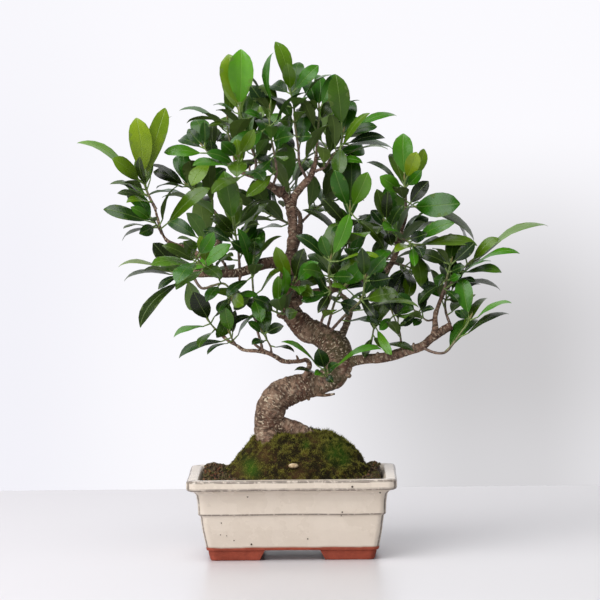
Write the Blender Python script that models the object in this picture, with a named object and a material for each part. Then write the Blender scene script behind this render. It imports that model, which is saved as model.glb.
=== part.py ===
"""Ficus bonsai with an S-curved trunk, planted in a moss mound in a rectangular glazed pot.

Built around the pot's middle with +Z up and the front of the tree toward -Y, in millimetres,
and turned into metres as each body is made. One object per piece.
"""
import math

import bmesh
import bpy
from mathutils import Vector
from mathutils.bvhtree import BVHTree

MM = 0.001
GAP = 0.35                      # air left between two pieces that touch

# pot, mm
RIM_HALF = (102.5, 77.5)        # outer half length and half depth at the rim
OPENING_HALF = (90.5, 65.5)
CORNER = 11.0                   # radius of the pot's upright corners
POT_HEIGHT = 82.0
UNDERSIDE = 12.0
FLOOR_TOP = 20.0
FOOT_GAP_TOP = 52.0
FOOT_GAP_FLOOR = 64.0
FOOT_GAP_SIDE = 48.0
HOLE_RADIUS = 9.0
HOLE_OFFSET = 44.0

# planting, mm
SOIL_TOP = 77.0
MOUND_CENTRE = (12.0, 2.0)
MOUND_LEFT = 77.0
MOUND_RIGHT = 72.0
MOUND_DEPTH = 59.0
MOUND_RISE = 47.0
PEBBLE_AT = (0.0, -48.5, 93.5)
PEBBLE_HALF = (4.6, 2.8, 2.2)

# trunk: x, y, z and radius along the middle line, from the root base to the fork
TRUNK = [
    (-31, 2, 58, 19), (-31, 2, 76, 21), (-31, 2, 94, 20), (-29, 1, 110, 17), (-27, 0, 124, 15.2),
    (-24, -1, 139, 15.4), (-19, -2, 154, 15), (-9, -2, 163, 14), (9, -1, 168.5, 13), (26, 0, 171.5, 12.5),
    (39, 1, 177, 12.8), (46, 2, 186, 13.8), (46.5, 3, 196, 15), (43, 3, 206, 15), (36, 4, 214, 13.6),
    (27, 5, 220, 12), (16, 5, 224, 12), (8.5, 6, 230, 11), (1.5, 6, 239, 10), (-2.4, 7, 249, 9.2),
    (-3.5, 7, 259, 9), (-1.6, 8, 270, 10), (-0.8, 8, 282, 9.8), (0, 7, 293, 7.2), (0, 6, 305, 5.2),
    (1, 5, 328, 5.2), (0, 5, 345, 5.4), (-3, 4, 356, 5), (-9, 2, 363, 4.2)]
ROOTS = [
    [(-22, -4, 131, 9), (-9, -8, 128, 9), (3, -13, 124.5, 7.6), (14, -19, 119, 6), (25, -27, 108, 4)],
    [(-27, -8, 124, 7), (-30, -20, 112, 6.4), (-37, -32, 100, 5), (-44, -42, 86, 3.6)],
    [(-32, 6, 118, 8), (-44, 10, 108, 6.5), (-54, 14, 96, 5), (-61, 18, 84, 3.6)],
    [(-24, 10, 122, 8), (-16, 24, 112, 6.5), (-6, 36, 100, 5), (2, 44, 84, 3.6)]]

# limbs: for each, its branches; a branch is its base radius, tip radius and middle line
LIMBS = {
    "limb_apex_left": [(4.1, 1.6, [
        (-9.3, 1.9, 363.4), (-14.5, 0, 366), (-26, -1, 373.5), (-33, 0, 378.5), (-46, 3, 383),
        (-54.5, 6, 386), (-63, 8, 391), (-73, 10, 395)])],
    "limb_apex_right": [(4.3, 1.9, [
        (-1, 5, 351), (4, 7, 360), (10.5, 8, 368), (16, 9, 374), (21.5, 8, 381),
        (24.5, 6, 390), (26, 4, 402)])],
    "limb_left": [
        (7.2, 3.0, [(0, 8, 281), (-8, 6, 289), (-15, 4, 293), (-28, 0, 292), (-41, -4, 287), (-57, -6, 283),
                    (-75, -6, 283), (-87, -5, 283), (-101, -4, 283)]),
        (3.0, 2.0, [(-84, -4, 283), (-81, 4, 297), (-75, 8, 310), (-70, 12, 322), (-65, 14, 328)]),
        (2.8, 1.6, [(-86, -5, 284), (-91, -7, 300), (-104, -9, 309), (-118, -10, 313), (-126, -10, 319),
                    (-131, -9, 330), (-136, -8, 350)])],
    "limb_low_left": [(2.7, 1.3, [
        (10, -4, 170), (13, -10, 181), (17, -13, 190), (14, -15, 196), (7, -16, 195), (-8, -17, 195),
        (-17, -18, 200), (-25, -19, 204), (-36, -19, 206), (-48, -19, 207), (-56, -19, 212), (-63, -20, 216),
        (-72, -21, 224)])],
    "limb_low_right": [
        (5.4, 3.6, [(47, 0, 188), (60, -4, 193), (73, -9, 196), (93, -15, 198), (113, -19, 204),
                    (129, -20, 209), (139, -16, 216.5), (149.5, -11, 223), (158.5, -7, 228)]),
        (2.9, 1.9, [(142, -14, 218), (143, -14, 226), (143, -13, 238), (146, -11, 248), (150, -10, 259)])],
    "limb_right": [(4.4, 1.8, [
        (-2, 9, 257), (14, 15, 260), (29, 18, 262), (54, 20, 268), (74, 24, 274), (95, 28, 282),
        (105, 22, 300), (110, 14, 320), (115, 6, 341)])],
    "limb_back_high": [(4.2, 1.8, [(0, 9, 300), (4, 26, 310), (8, 50, 324), (8, 74, 336), (2, 95, 345)])],
    "limb_back_low": [(4.6, 1.9, [
        (42, 8, 206), (50, 30, 218), (57, 56, 234), (58, 80, 245), (50, 103, 252)])]}

# leafy shoots: name, what carries it, stem radius, middle line, its leaves and how many more fill it out.
# A leaf is its place along the stem (0 to 1), its tip, its width and how far its upper face turns
# to the front: 0 is flat with that face up, 90 faces the front, a minus angle shows the underside.
SHOOTS = [
    # left limb: its raised tip, with the rosette furthest to the left
    ("shoot_left_tip_top", "limb_left", 1.6, [(-136, -8, 350), (-142, -7, 362), (-147, -6, 375)], [
        (1.0, -213, -10, 415, 11, 22), (0.95, -177, -32, 400, 16, 55), (1.0, -153, -14, 440, 24, 82),
        (0.9, -125, 8, 449, 17, 100), (0.85, -119, 24, 440, 10, 25), (0.5, -180, -20, 374, 9, 18),
        (0.4, -166, 12, 371, 12, -60), (0.3, -174, -2, 364, 9, 35), (0.8, -149, -34, 402, 10, 120),
        (0.2, -163, -34, 356, 8, 30)], 2),
    ("shoot_left_tip_mid", "limb_left", 1.3, [(-131, -11, 325), (-133, -16, 331), (-136, -19, 336)], [
        (1.0, -187, -18, 349, 14, 60), (0.9, -159, -36, 352, 10, 70), (0.8, -150, -52, 326, 13, 90),
        (0.6, -169, -10, 317, 8, 15), (1.0, -138, -52, 341, 11, 95), (0.3, -80, -14, 369, 15, 55)], 3),
    ("shoot_left_end_low", "limb_left", 1.5, [(-101, -4, 283), (-107, -8, 283), (-114, -11, 286)], [
        (1.0, -138, -18, 315, 18, 75), (0.95, -173, -14, 291, 9, 12), (0.9, -150, -22, 286, 8, -25),
        (0.8, -168, -2, 276, 7, 15), (0.75, -133, -26, 269, 8, 60), (0.3, -151, -30, 231, 15, 42),
        (0.2, -97, -34, 248, 18, -85), (0.1, -60, -22, 313, 14, 68)], 2),
    ("shoot_left_hook", "limb_left", 1.5,
     [(-97, -8, 277), (-90, -13, 269), (-78, -18, 272), (-68, -22, 274), (-61, -26, 268), (-60, -28, 262)], [
        (0.92, -33, -30, 261, 12, 30), (1.0, -47, -62, 255, 15, 90), (0.6, -84, -52, 258, 12, 60),
        (1.0, -72, -46, 246, 11, 40)], 3),
    ("shoot_left_rise", "limb_left", 1.5, [(-50, -9, 288), (-53, -12, 306), (-57, -14, 331)], [
        (1.0, -66, -22, 386, 24, 88), (0.9, -26, -20, 357, 8, 30), (0.95, -32, -10, 352, 12, -70),
        (0.9, -31, -36, 333, 9, 35), (0.2, -80, -16, 299, 12, 40), (0.6, -88, 2, 326, 12, 60),
        (0.7, -74, -44, 345, 13, 80)], 6),
    ("shoot_left_back", "limb_left", 1.6,
     [(-66, 0, 286), (-72, 26, 296), (-84, 56, 302), (-92, 84, 312)], [
        (1.0, -128, 104, 330, 14, 60), (1.0, -84, 126, 338, 15, 40), (0.9, -58, 104, 326, 14, 60)], 12),
    ("shoot_left_front", "limb_left", 1.5,
     [(-72, -11, 285), (-80, -34, 290), (-88, -62, 296), (-92, -84, 304)], [
        (1.0, -104, -118, 322, 15, 60), (1.0, -74, -112, 330, 14, 90), (0.95, -126, -84, 316, 12, 55)], 7),
    ("shoot_left_fork", "limb_left", 1.5, [(-65, 14, 328), (-78, 20, 345), (-93, 24, 359), (-104, 24, 370)], [
        (0.95, -143, 20, 391, 9, 20), (1.0, -139, 34, 384, 14, 60), (0.7, -66, 44, 386, 13, 60),
        (1.0, -112, 48, 408, 13, 80)], 10),
    # low left limb
    ("shoot_low_left_tip", "limb_low_left", 1.3, [(-72, -21, 224), (-78, -21, 230), (-82, -22, 235)], [
        (0.95, -97, -34, 268, 20, 96), (0.9, -118, -26, 221, 11, 18), (1.0, -62, -12, 268, 12, 150),
        (0.6, -92, -48, 212, 10, 40)], 0),
    ("shoot_low_left_mid", "limb_low_left", 1.2, [(-59, -20, 213), (-60, -25, 219), (-62, -29, 224)], [
        (1.0, -66, -44, 252, 18, 98), (0.8, -56, -30, 248, 9, 70), (0.5, -113, -30, 200, 13, 24),
        (0.3, -84, -46, 205, 8, 18)], 1),
    ("shoot_low_left_rise", "limb_low_left", 1.5,
     [(-25, -19, 205), (-31, -21, 213), (-36, -23, 234), (-38, -24, 262), (-39, -23, 285), (-37, -23, 300)], [
        (1.0, -60, -32, 316, 12, 60), (1.0, -36, -56, 318, 13, 90), (0.9, -9, -30, 321, 8, -30),
        (0.95, -53, -46, 330, 10, 60), (0.42, -62, -32, 231, 11, 32), (0.5, -58, -44, 248, 18, -72),
        (0.55, -30, -50, 237, 14, 80), (0.5, -50, -14, 254, 12, 60), (0.72, -64, -46, 262, 10, 50)], 4),
    ("shoot_low_left_inner", "limb_low_left", 1.2, [(-18, -18, 201), (-22, -21, 211), (-29, -22, 224)], [
        (0.4, 2, -30, 205, 7, 18), (0.6, -40, -40, 214, 8, 40), (1.0, -8, -36, 232, 12, 70),
        (1.0, -44, -30, 236, 9, 50)], 1),
    # shoots straight off the trunk, low in front
    ("shoot_trunk_front", "trunk", 1.6, [(33, -17, 176), (33, -22, 182), (33, -26, 187)], [
        (1.0, -11, -36, 216, 9, 16), (0.95, 89, -40, 208, 10, 20), (1.0, 26, -56, 211, 16, 92),
        (0.3, 2, -30, 187, 8, 14), (0.8, 46, -54, 196, 9, 60), (0.6, 41, -46, 176, 8, 80),
        (0.5, 22, -50, 184, 7, 50)], 0),
    ("shoot_trunk_left", "trunk", 1.3, [(-2, -9, 240), (-9, -15, 242), (-16, -20, 245)], [
        (1.0, -13, -34, 282, 13, 92), (0.95, -8, -54, 292, 9, 140), (0.9, -46, -16, 254, 13, 60),
        (0.5, 6, -46, 247, 13, 90), (0.95, -38, -44, 262, 12, 60)], 2),
    ("shoot_trunk_heart", "trunk", 1.4, [(1, -9, 266), (1, -14, 270), (2, -19, 274)], [
        (1.0, -15, -36, 311, 15, 95), (1.0, 13, -32, 309, 16, 80), (0.9, 27, -50, 296, 15, 70),
        (0.5, -18, -34, 266, 8, 25), (0.8, -9, -58, 283, 12, 80), (0.4, 22, -46, 262, 13, 60)], 2),
    ("shoot_bend_first", "trunk", 1.5,
     [(29, -9, 232), (33, -20, 245), (39, -28, 262), (37, -34, 284), (39, -38, 297)], [
        (1.0, 58, -46, 343, 16, 92), (0.95, 5, -42, 322, 14, 55), (0.92, 89, -56, 298, 9, 16),
        (0.8, 12, -60, 290, 14, 60), (0.55, 26, -58, 246, 10, 80), (0.6, 10, -40, 256, 12, 60),
        (0.75, 62, -64, 282, 13, 80), (1.0, 30, -70, 322, 13, 90)], 5),
    ("shoot_bend_second", "trunk", 1.5, [(36, -8, 232), (43, -14, 254), (51, -20, 268)], [
        (1.0, 74, -44, 298, 19, 92), (0.9, 74, -10, 270, 9, 40), (0.4, 69, -34, 248, 14, 70),
        (0.6, 30, -32, 266, 10, 60), (0.8, 40, 0, 292, 14, 60)], 3),
    ("shoot_bend_third", "trunk", 1.6,
     [(41, -7, 228), (52, -22, 240), (62, -36, 250), (70, -46, 260), (73, -52, 278)], [
        (0.9, 93, -66, 302, 23, 92), (0.7, 106, -60, 264, 16, 60), (0.62, 82, -60, 243, 13, 100),
        (0.6, 126, -50, 250, 9, 14), (1.0, 70, -82, 312, 14, 90), (0.5, 50, -56, 250, 12, 70),
        (1.0, 98, -84, 282, 17, 90)], 4),
    # low right limb
    ("shoot_low_right_inner", "limb_low_right", 1.2, [(77, -10, 201), (79, -12, 213), (82, -13, 231)], [
        (0.5, 72, -20, 198, 9, 60), (0.45, 89, -26, 208, 9, 50), (1.0, 82, -22, 247, 9, 80),
        (0.6, 99, -28, 202, 10, 95), (0.55, 121, -24, 205, 11, 24), (0.95, 100, -8, 254, 10, 60),
        (1.0, 66, -26, 262, 9, 50)], 1),
    ("shoot_low_right_mid", "limb_low_right", 1.2, [(111, -20, 210), (107, -22, 225), (101, -24, 241)], [
        (1.0, 87, -34, 227, 14, 92), (0.9, 122, -34, 247, 9, 40), (1.0, 92, -24, 268, 14, 80),
        (0.5, 114, -30, 234, 7, 60), (1.0, 108, -12, 272, 16, 70)], 2),
    ("shoot_low_right_outer", "limb_low_right", 1.5,
     [(131, -22, 208), (139, -26, 204), (147, -28, 202.5), (154, -28, 204.5), (162, -26, 214),
      (170, -24, 225), (174, -24, 230), (177, -25, 236)], [
        (0.93, 162, -30, 245, 9, 85), (0.95, 168, -38, 247, 10, 85), (1.0, 170, -32, 276, 19, 94),
        (1.0, 219, -30, 252, 10, 16), (0.97, 217, -18, 240, 10, 18), (0.98, 196, 2, 255, 9, 30)], 1),
    ("shoot_low_right_left", "limb_low_right", 1.2, [(141, -14, 231), (134, -18, 235), (125, -21, 243)], [
        (1.0, 110, -26, 230, 13, 82), (0.8, 142, -30, 247, 9, 35), (1.0, 141, -14, 263, 8, 40),
        (0.7, 121, -40, 231, 9, 70), (1.0, 104, -42, 262, 12, 60), (0.9, 128, -8, 262, 12, 60)], 1),
    ("shoot_low_right_back", "limb_low_right", 1.5,
     [(155, -4, 232), (154, 0, 242), (154, 6, 253), (160, 12, 259)], [
        (0.6, 171, 2, 253, 8, 60), (1.0, 191, 14, 271, 10, 30), (0.95, 190, 28, 267, 9, 25),
        (1.0, 170, 20, 290, 14, 80), (1.0, 152, 42, 286, 14, 60), (0.8, 130, 24, 268, 13, 50),
        (0.9, 180, 44, 258, 12, 40)], 3),
    ("shoot_right_crown", "limb_low_right", 1.6,
     [(150, -10, 260), (153, -11, 268), (156, -12, 280), (159, -12, 291)], [
        (1.0, 183, -14, 312, 14, 84), (0.9, 127, -10, 301, 18, 62), (0.95, 145, -6, 303, 17, 80),
        (0.4, 141, -40, 278, 15, 96), (0.45, 169, -24, 280, 11, 65), (0.3, 166, -26, 254, 9, 60),
        (0.6, 173, -26, 289, 10, 60), (0.35, 126, -16, 250, 9, 45), (1.0, 160, 10, 320, 14, 70)], 3),
    ("shoot_right_reach", "limb_low_right", 1.4,
     [(148, -9, 252), (155, -2, 264), (165, 2, 278), (177, 3, 290)], [
        (1.0, 208, 4, 315, 12, 48), (1.0, 258, -6, 326, 11, 14), (0.95, 228, -12, 300, 10, 22),
        (0.9, 194, 12, 292, 8, 12), (0.8, 210, -8, 281, 12, 30), (0.7, 209, 8, 262, 9, 16),
        (0.5, 184, 20, 272, 10, 30)], 3),
    # right limb, rising behind
    ("shoot_right_top", "limb_right", 1.6, [(115, 4, 342), (115, 2, 358), (114, 0, 374)], [
        (1.0, 113, 2, 421, 22, 92), (0.95, 126, -14, 403, 22, 88), (0.7, 131, -24, 385, 11, 80),
        (0.75, 76, 2, 392, 10, 22), (0.5, 89, -14, 379, 16, 82), (0.98, 134, 16, 405, 13, 110),
        (0.2, 138, 4, 373, 22, 78), (0.15, 169, -18, 351, 26, 76), (0.2, 183, 12, 312, 12, 24),
        (0.1, 122, -26, 313, 12, 88), (0.85, 100, 26, 400, 13, 60)], 2),
    ("shoot_right_side", "limb_right", 1.4, [(110, 12, 318), (116, 4, 313), (122, -5, 310)], [
        (0.9, 103, -34, 304, 9, 40), (1.0, 186, -6, 308, 13, 40), (1.0, 130, -42, 300, 11, 88),
        (0.8, 138, -14, 294, 12, 60), (0.9, 122, -36, 290, 10, 80), (1.0, 163, -22, 332, 14, 60),
        (1.0, 136, -20, 322, 12, 70)], 3),
    ("shoot_right_inner", "limb_right", 1.4, [(104, 17, 304), (100, 8, 318), (94, -1, 331)], [
        (1.0, 97, -12, 364, 12, 92), (0.95, 86, -4, 366, 13, 80), (0.9, 112, -16, 350, 12, 70),
        (0.8, 100, -24, 310, 13, 85), (0.9, 70, -14, 322, 12, 60), (0.6, 82, -20, 300, 12, 60),
        (0.7, 80, 12, 344, 12, 60)], 4),
    ("shoot_right_hang", "limb_right", 1.3, [(109, 26, 290), (114, 22, 287), (120, 17, 285)], [
        (1.0, 116, 0, 256, 15, 94), (0.7, 100, 8, 258, 17, 80), (0.9, 136, -2, 268, 12, 60),
        (1.0, 140, 34, 282, 13, 50), (0.5, 112, 62, 274, 14, 50)], 2),
    ("shoot_right_back", "limb_right", 1.5,
     [(82, 31, 277), (92, 54, 288), (104, 80, 300), (108, 104, 312)], [
        (1.0, 140, 120, 330, 14, 60), (1.0, 92, 146, 326, 15, 50), (0.9, 76, 104, 334, 14, 60)], 11),
    ("shoot_right_heart", "limb_right", 1.5,
     [(52, 20, 270), (56, 8, 290), (58, -6, 315), (59, -14, 345)], [
        (1.0, 44, -26, 386, 18, 92), (1.0, 77, -30, 384, 19, 90), (0.9, 60, 4, 402, 20, 84),
        (0.85, 92, -20, 307, 10, 50), (0.8, 40, -34, 322, 10, 50), (0.7, 31, -16, 358, 14, 75),
        (0.6, 80, -8, 340, 13, 60), (0.75, 11, -14, 346, 9, 30), (0.5, 38, 8, 306, 13, 50)], 6),
    # apex, left side
    ("shoot_apex_left_inner", "limb_apex_left", 1.4,
     [(-15, -4, 370), (-14, -7, 384), (-16, -8, 402), (-20, -8, 425), (-20, -7, 446)], [
        (0.72, -61, -24, 403, 24, 62), (0.8, -45, -14, 444, 11, 25), (0.97, -39, -10, 471, 17, 80),
        (1.0, -52, 4, 485, 8, -12), (0.3, -6, -38, 396, 14, 85), (0.35, -36, -22, 377, 11, 60),
        (1.0, -16, 0, 503, 9, 150), (0.6, 4, -30, 420, 13, 70), (0.15, -44, -30, 361, 13, 80)], 7),
    ("shoot_apex_left_tall", "limb_apex_left", 1.5,
     [(-31, -1, 381), (-35, 0, 397), (-43, 1, 418), (-50, 2, 443)], [
        (1.0, -61, 0, 502, 26, 85), (1.0, -48, -12, 507, 27, 90), (0.95, -67, 14, 479, 14, -80),
        (0.9, -77, 8, 451, 8, 12), (0.85, -82, -12, 430, 10, 30), (0.9, -30, 26, 470, 15, 60),
        (0.6, -36, 40, 440, 14, 60)], 5),
    ("shoot_apex_left_mid", "limb_apex_left", 1.3,
     [(-53, 6, 389), (-58, 8, 405), (-62, 8, 422), (-63, 8, 436)], [
        (1.0, -111, 6, 446, 10, 16), (0.95, -104, 14, 433, 9, -18), (0.6, -73, 22, 414, 9, 30),
        (1.0, -62, 34, 470, 15, 60), (0.5, -90, 40, 420, 13, 50), (0.9, -34, 40, 446, 13, 60)], 4),
    ("shoot_apex_left_end", "limb_apex_left", 1.3, [(-74, 10, 396), (-81, 12, 402), (-87, 12, 409)], [
        (1.0, -86, 4, 435, 11, 88), (0.9, -103, 20, 427, 14, 80), (0.5, -127, 12, 404, 14, 42),
        (0.3, -99, -8, 371, 16, 62), (0.4, -79, -20, 417, 13, 90), (0.9, -112, 44, 416, 12, 50)], 2),
    ("shoot_apex_left_back", "limb_apex_left", 1.5,
     [(-26, 2, 377), (-30, 28, 390), (-38, 56, 402), (-42, 80, 416)], [
        (1.0, -74, 98, 434, 15, 55), (1.0, -30, 112, 448, 15, 60), (0.9, -10, 84, 440, 14, 60)], 11),
    ("shoot_apex_left_front", "limb_apex_left", 1.4,
     [(-40, -6, 379), (-46, -28, 386), (-50, -54, 392), (-50, -76, 402)], [
        (1.0, -66, -108, 418, 15, 90), (1.0, -34, -104, 430, 14, 90), (0.9, -82, -76, 406, 13, 60)], 6),
    # apex, right side
    ("shoot_apex_centre", "limb_apex_right", 1.5,
     [(14, 3, 378), (9, 2, 392), (8, 1, 408), (5, 0, 430), (4, -1, 449), (1, -2, 463)], [
        (1.0, -14, 2, 514, 16, 60), (0.97, -2, -20, 493, 14, 95), (0.95, 29, -6, 490, 15, 80),
        (0.85, 14, -46, 458, 18, 90), (0.9, -18, 26, 470, 14, 60), (0.7, 24, 30, 452, 14, 60),
        (0.6, -10, -36, 436, 13, 80), (0.45, 22, -34, 420, 13, 70), (0.5, -14, 34, 430, 13, 50)], 8),
    ("shoot_apex_right_rise", "limb_apex_right", 1.4, [(26, 4, 405), (28, 2, 425), (29, 0, 446)], [
        (1.0, 46, 4, 481, 13, 80), (0.85, 20, -14, 455, 16, -80), (0.7, 46, 24, 452, 14, 60),
        (0.6, 8, 34, 446, 13, 60), (1.0, 28, 34, 480, 14, 70)], 4),
    ("shoot_apex_right_reach", "limb_apex_right", 1.5,
     [(27, 4, 382), (34, 1, 388), (42, -2, 399), (50, -4, 409), (53, -6, 422)], [
        (1.0, 46, -12, 481, 23, 86), (0.9, 87, -2, 428, 13, 50), (0.85, 95, 8, 416, 10, 40),
        (0.75, 105, 12, 401, 9, 16), (0.7, 48, -28, 380, 20, 95), (0.95, 107, -2, 438, 12, 34),
        (0.9, 80, -16, 442, 10, 40), (0.8, 74, 26, 404, 13, 50), (0.6, 72, -26, 392, 12, 40)], 5),
    ("shoot_apex_right_back", "limb_apex_right", 1.5,
     [(17, 13, 378), (24, 34, 392), (34, 60, 402), (40, 84, 414)], [
        (1.0, 70, 98, 434, 15, 60), (1.0, 30, 118, 446, 15, 50), (0.9, 8, 88, 440, 14, 60)], 10),
    # the two limbs at the back
    ("shoot_back_high_end", "limb_back_high", 1.6, [(2, 96, 345), (-2, 112, 356), (-4, 124, 366)], [
        (1.0, -32, 146, 392, 15, 50), (1.0, 20, 152, 390, 15, 50), (0.9, -40, 126, 352, 14, 50)], 8),
    ("shoot_back_high_side", "limb_back_high", 1.4, [(9, 58, 333), (24, 72, 343), (38, 84, 352)], [
        (1.0, 74, 92, 372, 14, 50), (1.0, 50, 112, 384, 14, 60)], 9),
    ("shoot_back_high_left", "limb_back_high", 1.4, [(1, 50, 324), (-14, 60, 334), (-30, 68, 342)], [
        (1.0, -64, 80, 362, 14, 50), (1.0, -38, 96, 372, 14, 60)], 9),
    ("shoot_back_low_end", "limb_back_low", 1.5, [(50, 104, 252), (46, 118, 262), (40, 130, 270)], [
        (1.0, 16, 152, 292, 15, 50), (1.0, 62, 158, 290, 15, 50), (0.9, 4, 128, 262, 14, 50)], 8),
    ("shoot_back_low_side", "limb_back_low", 1.4, [(59, 68, 240), (74, 76, 250), (88, 86, 258)], [
        (1.0, 124, 96, 276, 14, 50), (1.0, 96, 118, 284, 14, 60)], 7),
]
FILL_LENGTHS = (46.0, 38.0, 52.0, 42.0, 34.0)
FILL_DEPTHS = (-118.0, 153.0)  # filling leaves stay between these


def collection(name):
    """A new collection linked into the scene."""
    made = bpy.data.collections.new(name)
    bpy.context.scene.collection.children.link(made)
    return made


def material(name, colour, roughness):
    """A plain Principled material."""
    made = bpy.data.materials.new(name)
    made.use_nodes = True
    shader = made.node_tree.nodes["Principled BSDF"]
    shader.inputs["Base Color"].default_value = (*colour, 1.0)
    shader.inputs["Roughness"].default_value = roughness
    shader.inputs["Metallic"].default_value = 0.0
    return made


def add_mesh(name, bm, where, finish=None):
    """Turns a bmesh in millimetres into an object in metres."""
    bmesh.ops.scale(bm, vec=(MM, MM, MM), verts=bm.verts)
    bmesh.ops.recalc_face_normals(bm, faces=bm.faces)
    mesh = bpy.data.meshes.new(name)
    bm.to_mesh(mesh)
    bm.free()
    made = bpy.data.objects.new(name, mesh)
    if finish:
        mesh.materials.append(finish)
    where.objects.link(made)
    return made


def boolean(target, other, operation):
    """A live exact Boolean."""
    step = target.modifiers.new(f"{operation.lower()} {other.name}", "BOOLEAN")
    step.operation = operation
    step.solver = "EXACT"
    step.object = other


def smooth_path(points, count):
    """`count` evenly spaced points on a Catmull-Rom curve through `points` (any number of columns)."""
    rows = [Vector(p) for p in points]
    rows = [rows[0] * 2 - rows[1]] + rows + [rows[-1] * 2 - rows[-2]]
    fine = []
    for a, b, c, d in zip(rows, rows[1:], rows[2:], rows[3:]):
        for k in range(8):
            t = k / 8
            fine.append(0.5 * (2 * b + (c - a) * t + (2 * a - 5 * b + 4 * c - d) * t**2
                               + (3 * b - a - 3 * c + d) * t**3))
    fine.append(rows[-2])
    reach = [0.0]
    for a, b in zip(fine, fine[1:]):
        reach.append(reach[-1] + (b.to_3d() - a.to_3d()).length)
    out = []
    at = 0
    for k in range(count):
        want = reach[-1] * k / (count - 1)
        while at < len(fine) - 2 and reach[at + 1] < want:
            at += 1
        span = reach[at + 1] - reach[at]
        out.append(fine[at].lerp(fine[at + 1], (want - reach[at]) / span if span else 0.0))
    return out


def tube(rows, sides, grow=0.0, twist=0.0):
    """Rings of vertices round a line of (x, y, z, radius) rows, with the two end caps."""
    line = [row.to_3d() for row in rows]
    heading = [(line[min(k + 1, len(line) - 1)] - line[max(k - 1, 0)]).normalized() for k in range(len(line))]
    side = heading[0].orthogonal().normalized()
    verts = []
    for point, along, row in zip(line, heading, rows):
        side = (side - along * side.dot(along)).normalized()
        up = along.cross(side)
        for k in range(sides):
            angle = math.tau * (k + twist) / sides
            verts.append(point + (side * math.cos(angle) + up * math.sin(angle)) * (row[3] + grow))
    faces = []
    for ring in range(len(line) - 1):
        for k in range(sides):
            a, b = ring * sides + k, ring * sides + (k + 1) % sides
            faces.append((a, b, b + sides, a + sides))
    last = (len(line) - 1) * sides
    faces.append(tuple(reversed(range(sides))))
    faces.append(tuple(range(last, last + sides)))
    return verts, faces


def tube_mesh(rows, sides, grow=0.0):
    """The tube as a bmesh."""
    verts, faces = tube(rows, sides, grow)
    bm = bmesh.new()
    made = [bm.verts.new(v) for v in verts]
    for face in faces:
        bm.faces.new([made[k] for k in face])
    return bm


def rounded_ring(half_x, half_y, corner, z, steps=4):
    """A rounded rectangle at height z, anticlockwise."""
    ring = []
    for quarter in range(4):
        sx = (1, -1, -1, 1)[quarter]
        sy = (1, 1, -1, -1)[quarter]
        for k in range(steps + 1):
            angle = math.pi / 2 * (quarter + k / steps)
            ring.append(Vector((sx * (half_x - corner) + corner * math.cos(angle),
                                sy * (half_y - corner) + corner * math.sin(angle), z)))
    return ring


def ring_stack(rings):
    """A closed body skinned over rings of equal count, capped at both ends."""
    bm = bmesh.new()
    rows = [[bm.verts.new(v) for v in ring] for ring in rings]
    count = len(rows[0])
    for low, high in zip(rows, rows[1:]):
        for k in range(count):
            bm.faces.new((low[k], low[(k + 1) % count], high[(k + 1) % count], high[k]))
    bm.faces.new(list(reversed(rows[0])))
    bm.faces.new(rows[-1])
    return bm


def prism(outline, axis, reach):
    """A prism: an outline of (across, z) pairs run both ways along `axis` (0 for X, 1 for Y)."""
    rings = []
    for end in (-reach, reach):
        rings.append([Vector((end, a, z)) if axis == 0 else Vector((a, end, z)) for a, z in outline])
    return ring_stack(rings)


def mound_height(x, y):
    """How far the moss stands above the soil: a broad flat-topped heap, highest right of the trunk."""
    dx = x - MOUND_CENTRE[0]
    dy = y - MOUND_CENTRE[1]
    rho = math.hypot(dx / (MOUND_RIGHT if dx > 0 else MOUND_LEFT), dy / MOUND_DEPTH)
    lumps = 1.3 * math.sin(x * 0.21 + 1.0) * math.cos(y * 0.23) + 0.9 * math.sin(x * 0.47 - y * 0.39)
    fade = max(0.0, 1.0 - rho**4)
    return 1.2 + MOUND_RISE * fade**1.5 + lumps * min(1.0, 4 * fade) * 0.8


def leaf_normal(along, turn):
    """The upper face's direction for a leaf pointing `along`, turned `turn` degrees toward the front."""
    front = Vector((0, -1, 0)) if abs(along.y) < 0.93 else Vector((0, 0, 1))
    front = (front - along * front.dot(along)).normalized()
    other = along.cross(front)
    if (other.z if abs(other.z) > 0.12 else other.x) < 0:
        other = -other
    return front * math.sin(math.radians(turn)) + other * math.cos(math.radians(turn))


def leaf_rings(start, tip, width, normal, edge_on):
    """Four diamond rings of a leaf: the petiole's end, two across the blade and the tip."""
    span = tip - start
    length = span.length
    along = span / length
    normal = (normal - along * normal.dot(along)).normalized()
    side = normal.cross(along)
    petiole = min(11.0, 0.17 * length)
    arch = (length - petiole) * (0.07 + 0.09 * edge_on)
    rings = []
    sections = ((0.0, 0.75, 0.7), (0.3, 0.47 * width, 0.55), (0.68, 0.43 * width, 0.5), (1.0, 0.3, 0.3))
    for at, half, thick in sections:
        lift = arch * 3.85 * at**1.2 * (1 - at) ** 0.8
        middle = start + along * (petiole + (length - petiole) * at) + normal * lift
        rings.append([middle + side * half, middle + normal * thick,
                      middle - side * half, middle - normal * thick])
    return rings


def ring_solid(rings, swell=0.0):
    """Vertices and faces of a skin over diamond rings, swollen for a clearance test."""
    verts = []
    for ring in rings:
        middle = sum(ring, Vector()) / 4
        verts += [v + (v - middle).normalized() * swell for v in ring]
    faces = [(0, 1, 2, 3)]
    for low in range(0, len(verts) - 4, 4):
        faces += [(low + k, low + (k + 1) % 4, low + (k + 1) % 4 + 4, low + k + 4) for k in range(4)]
    faces.append((len(verts) - 4, len(verts) - 3, len(verts) - 2, len(verts) - 1))
    return verts, faces


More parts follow.
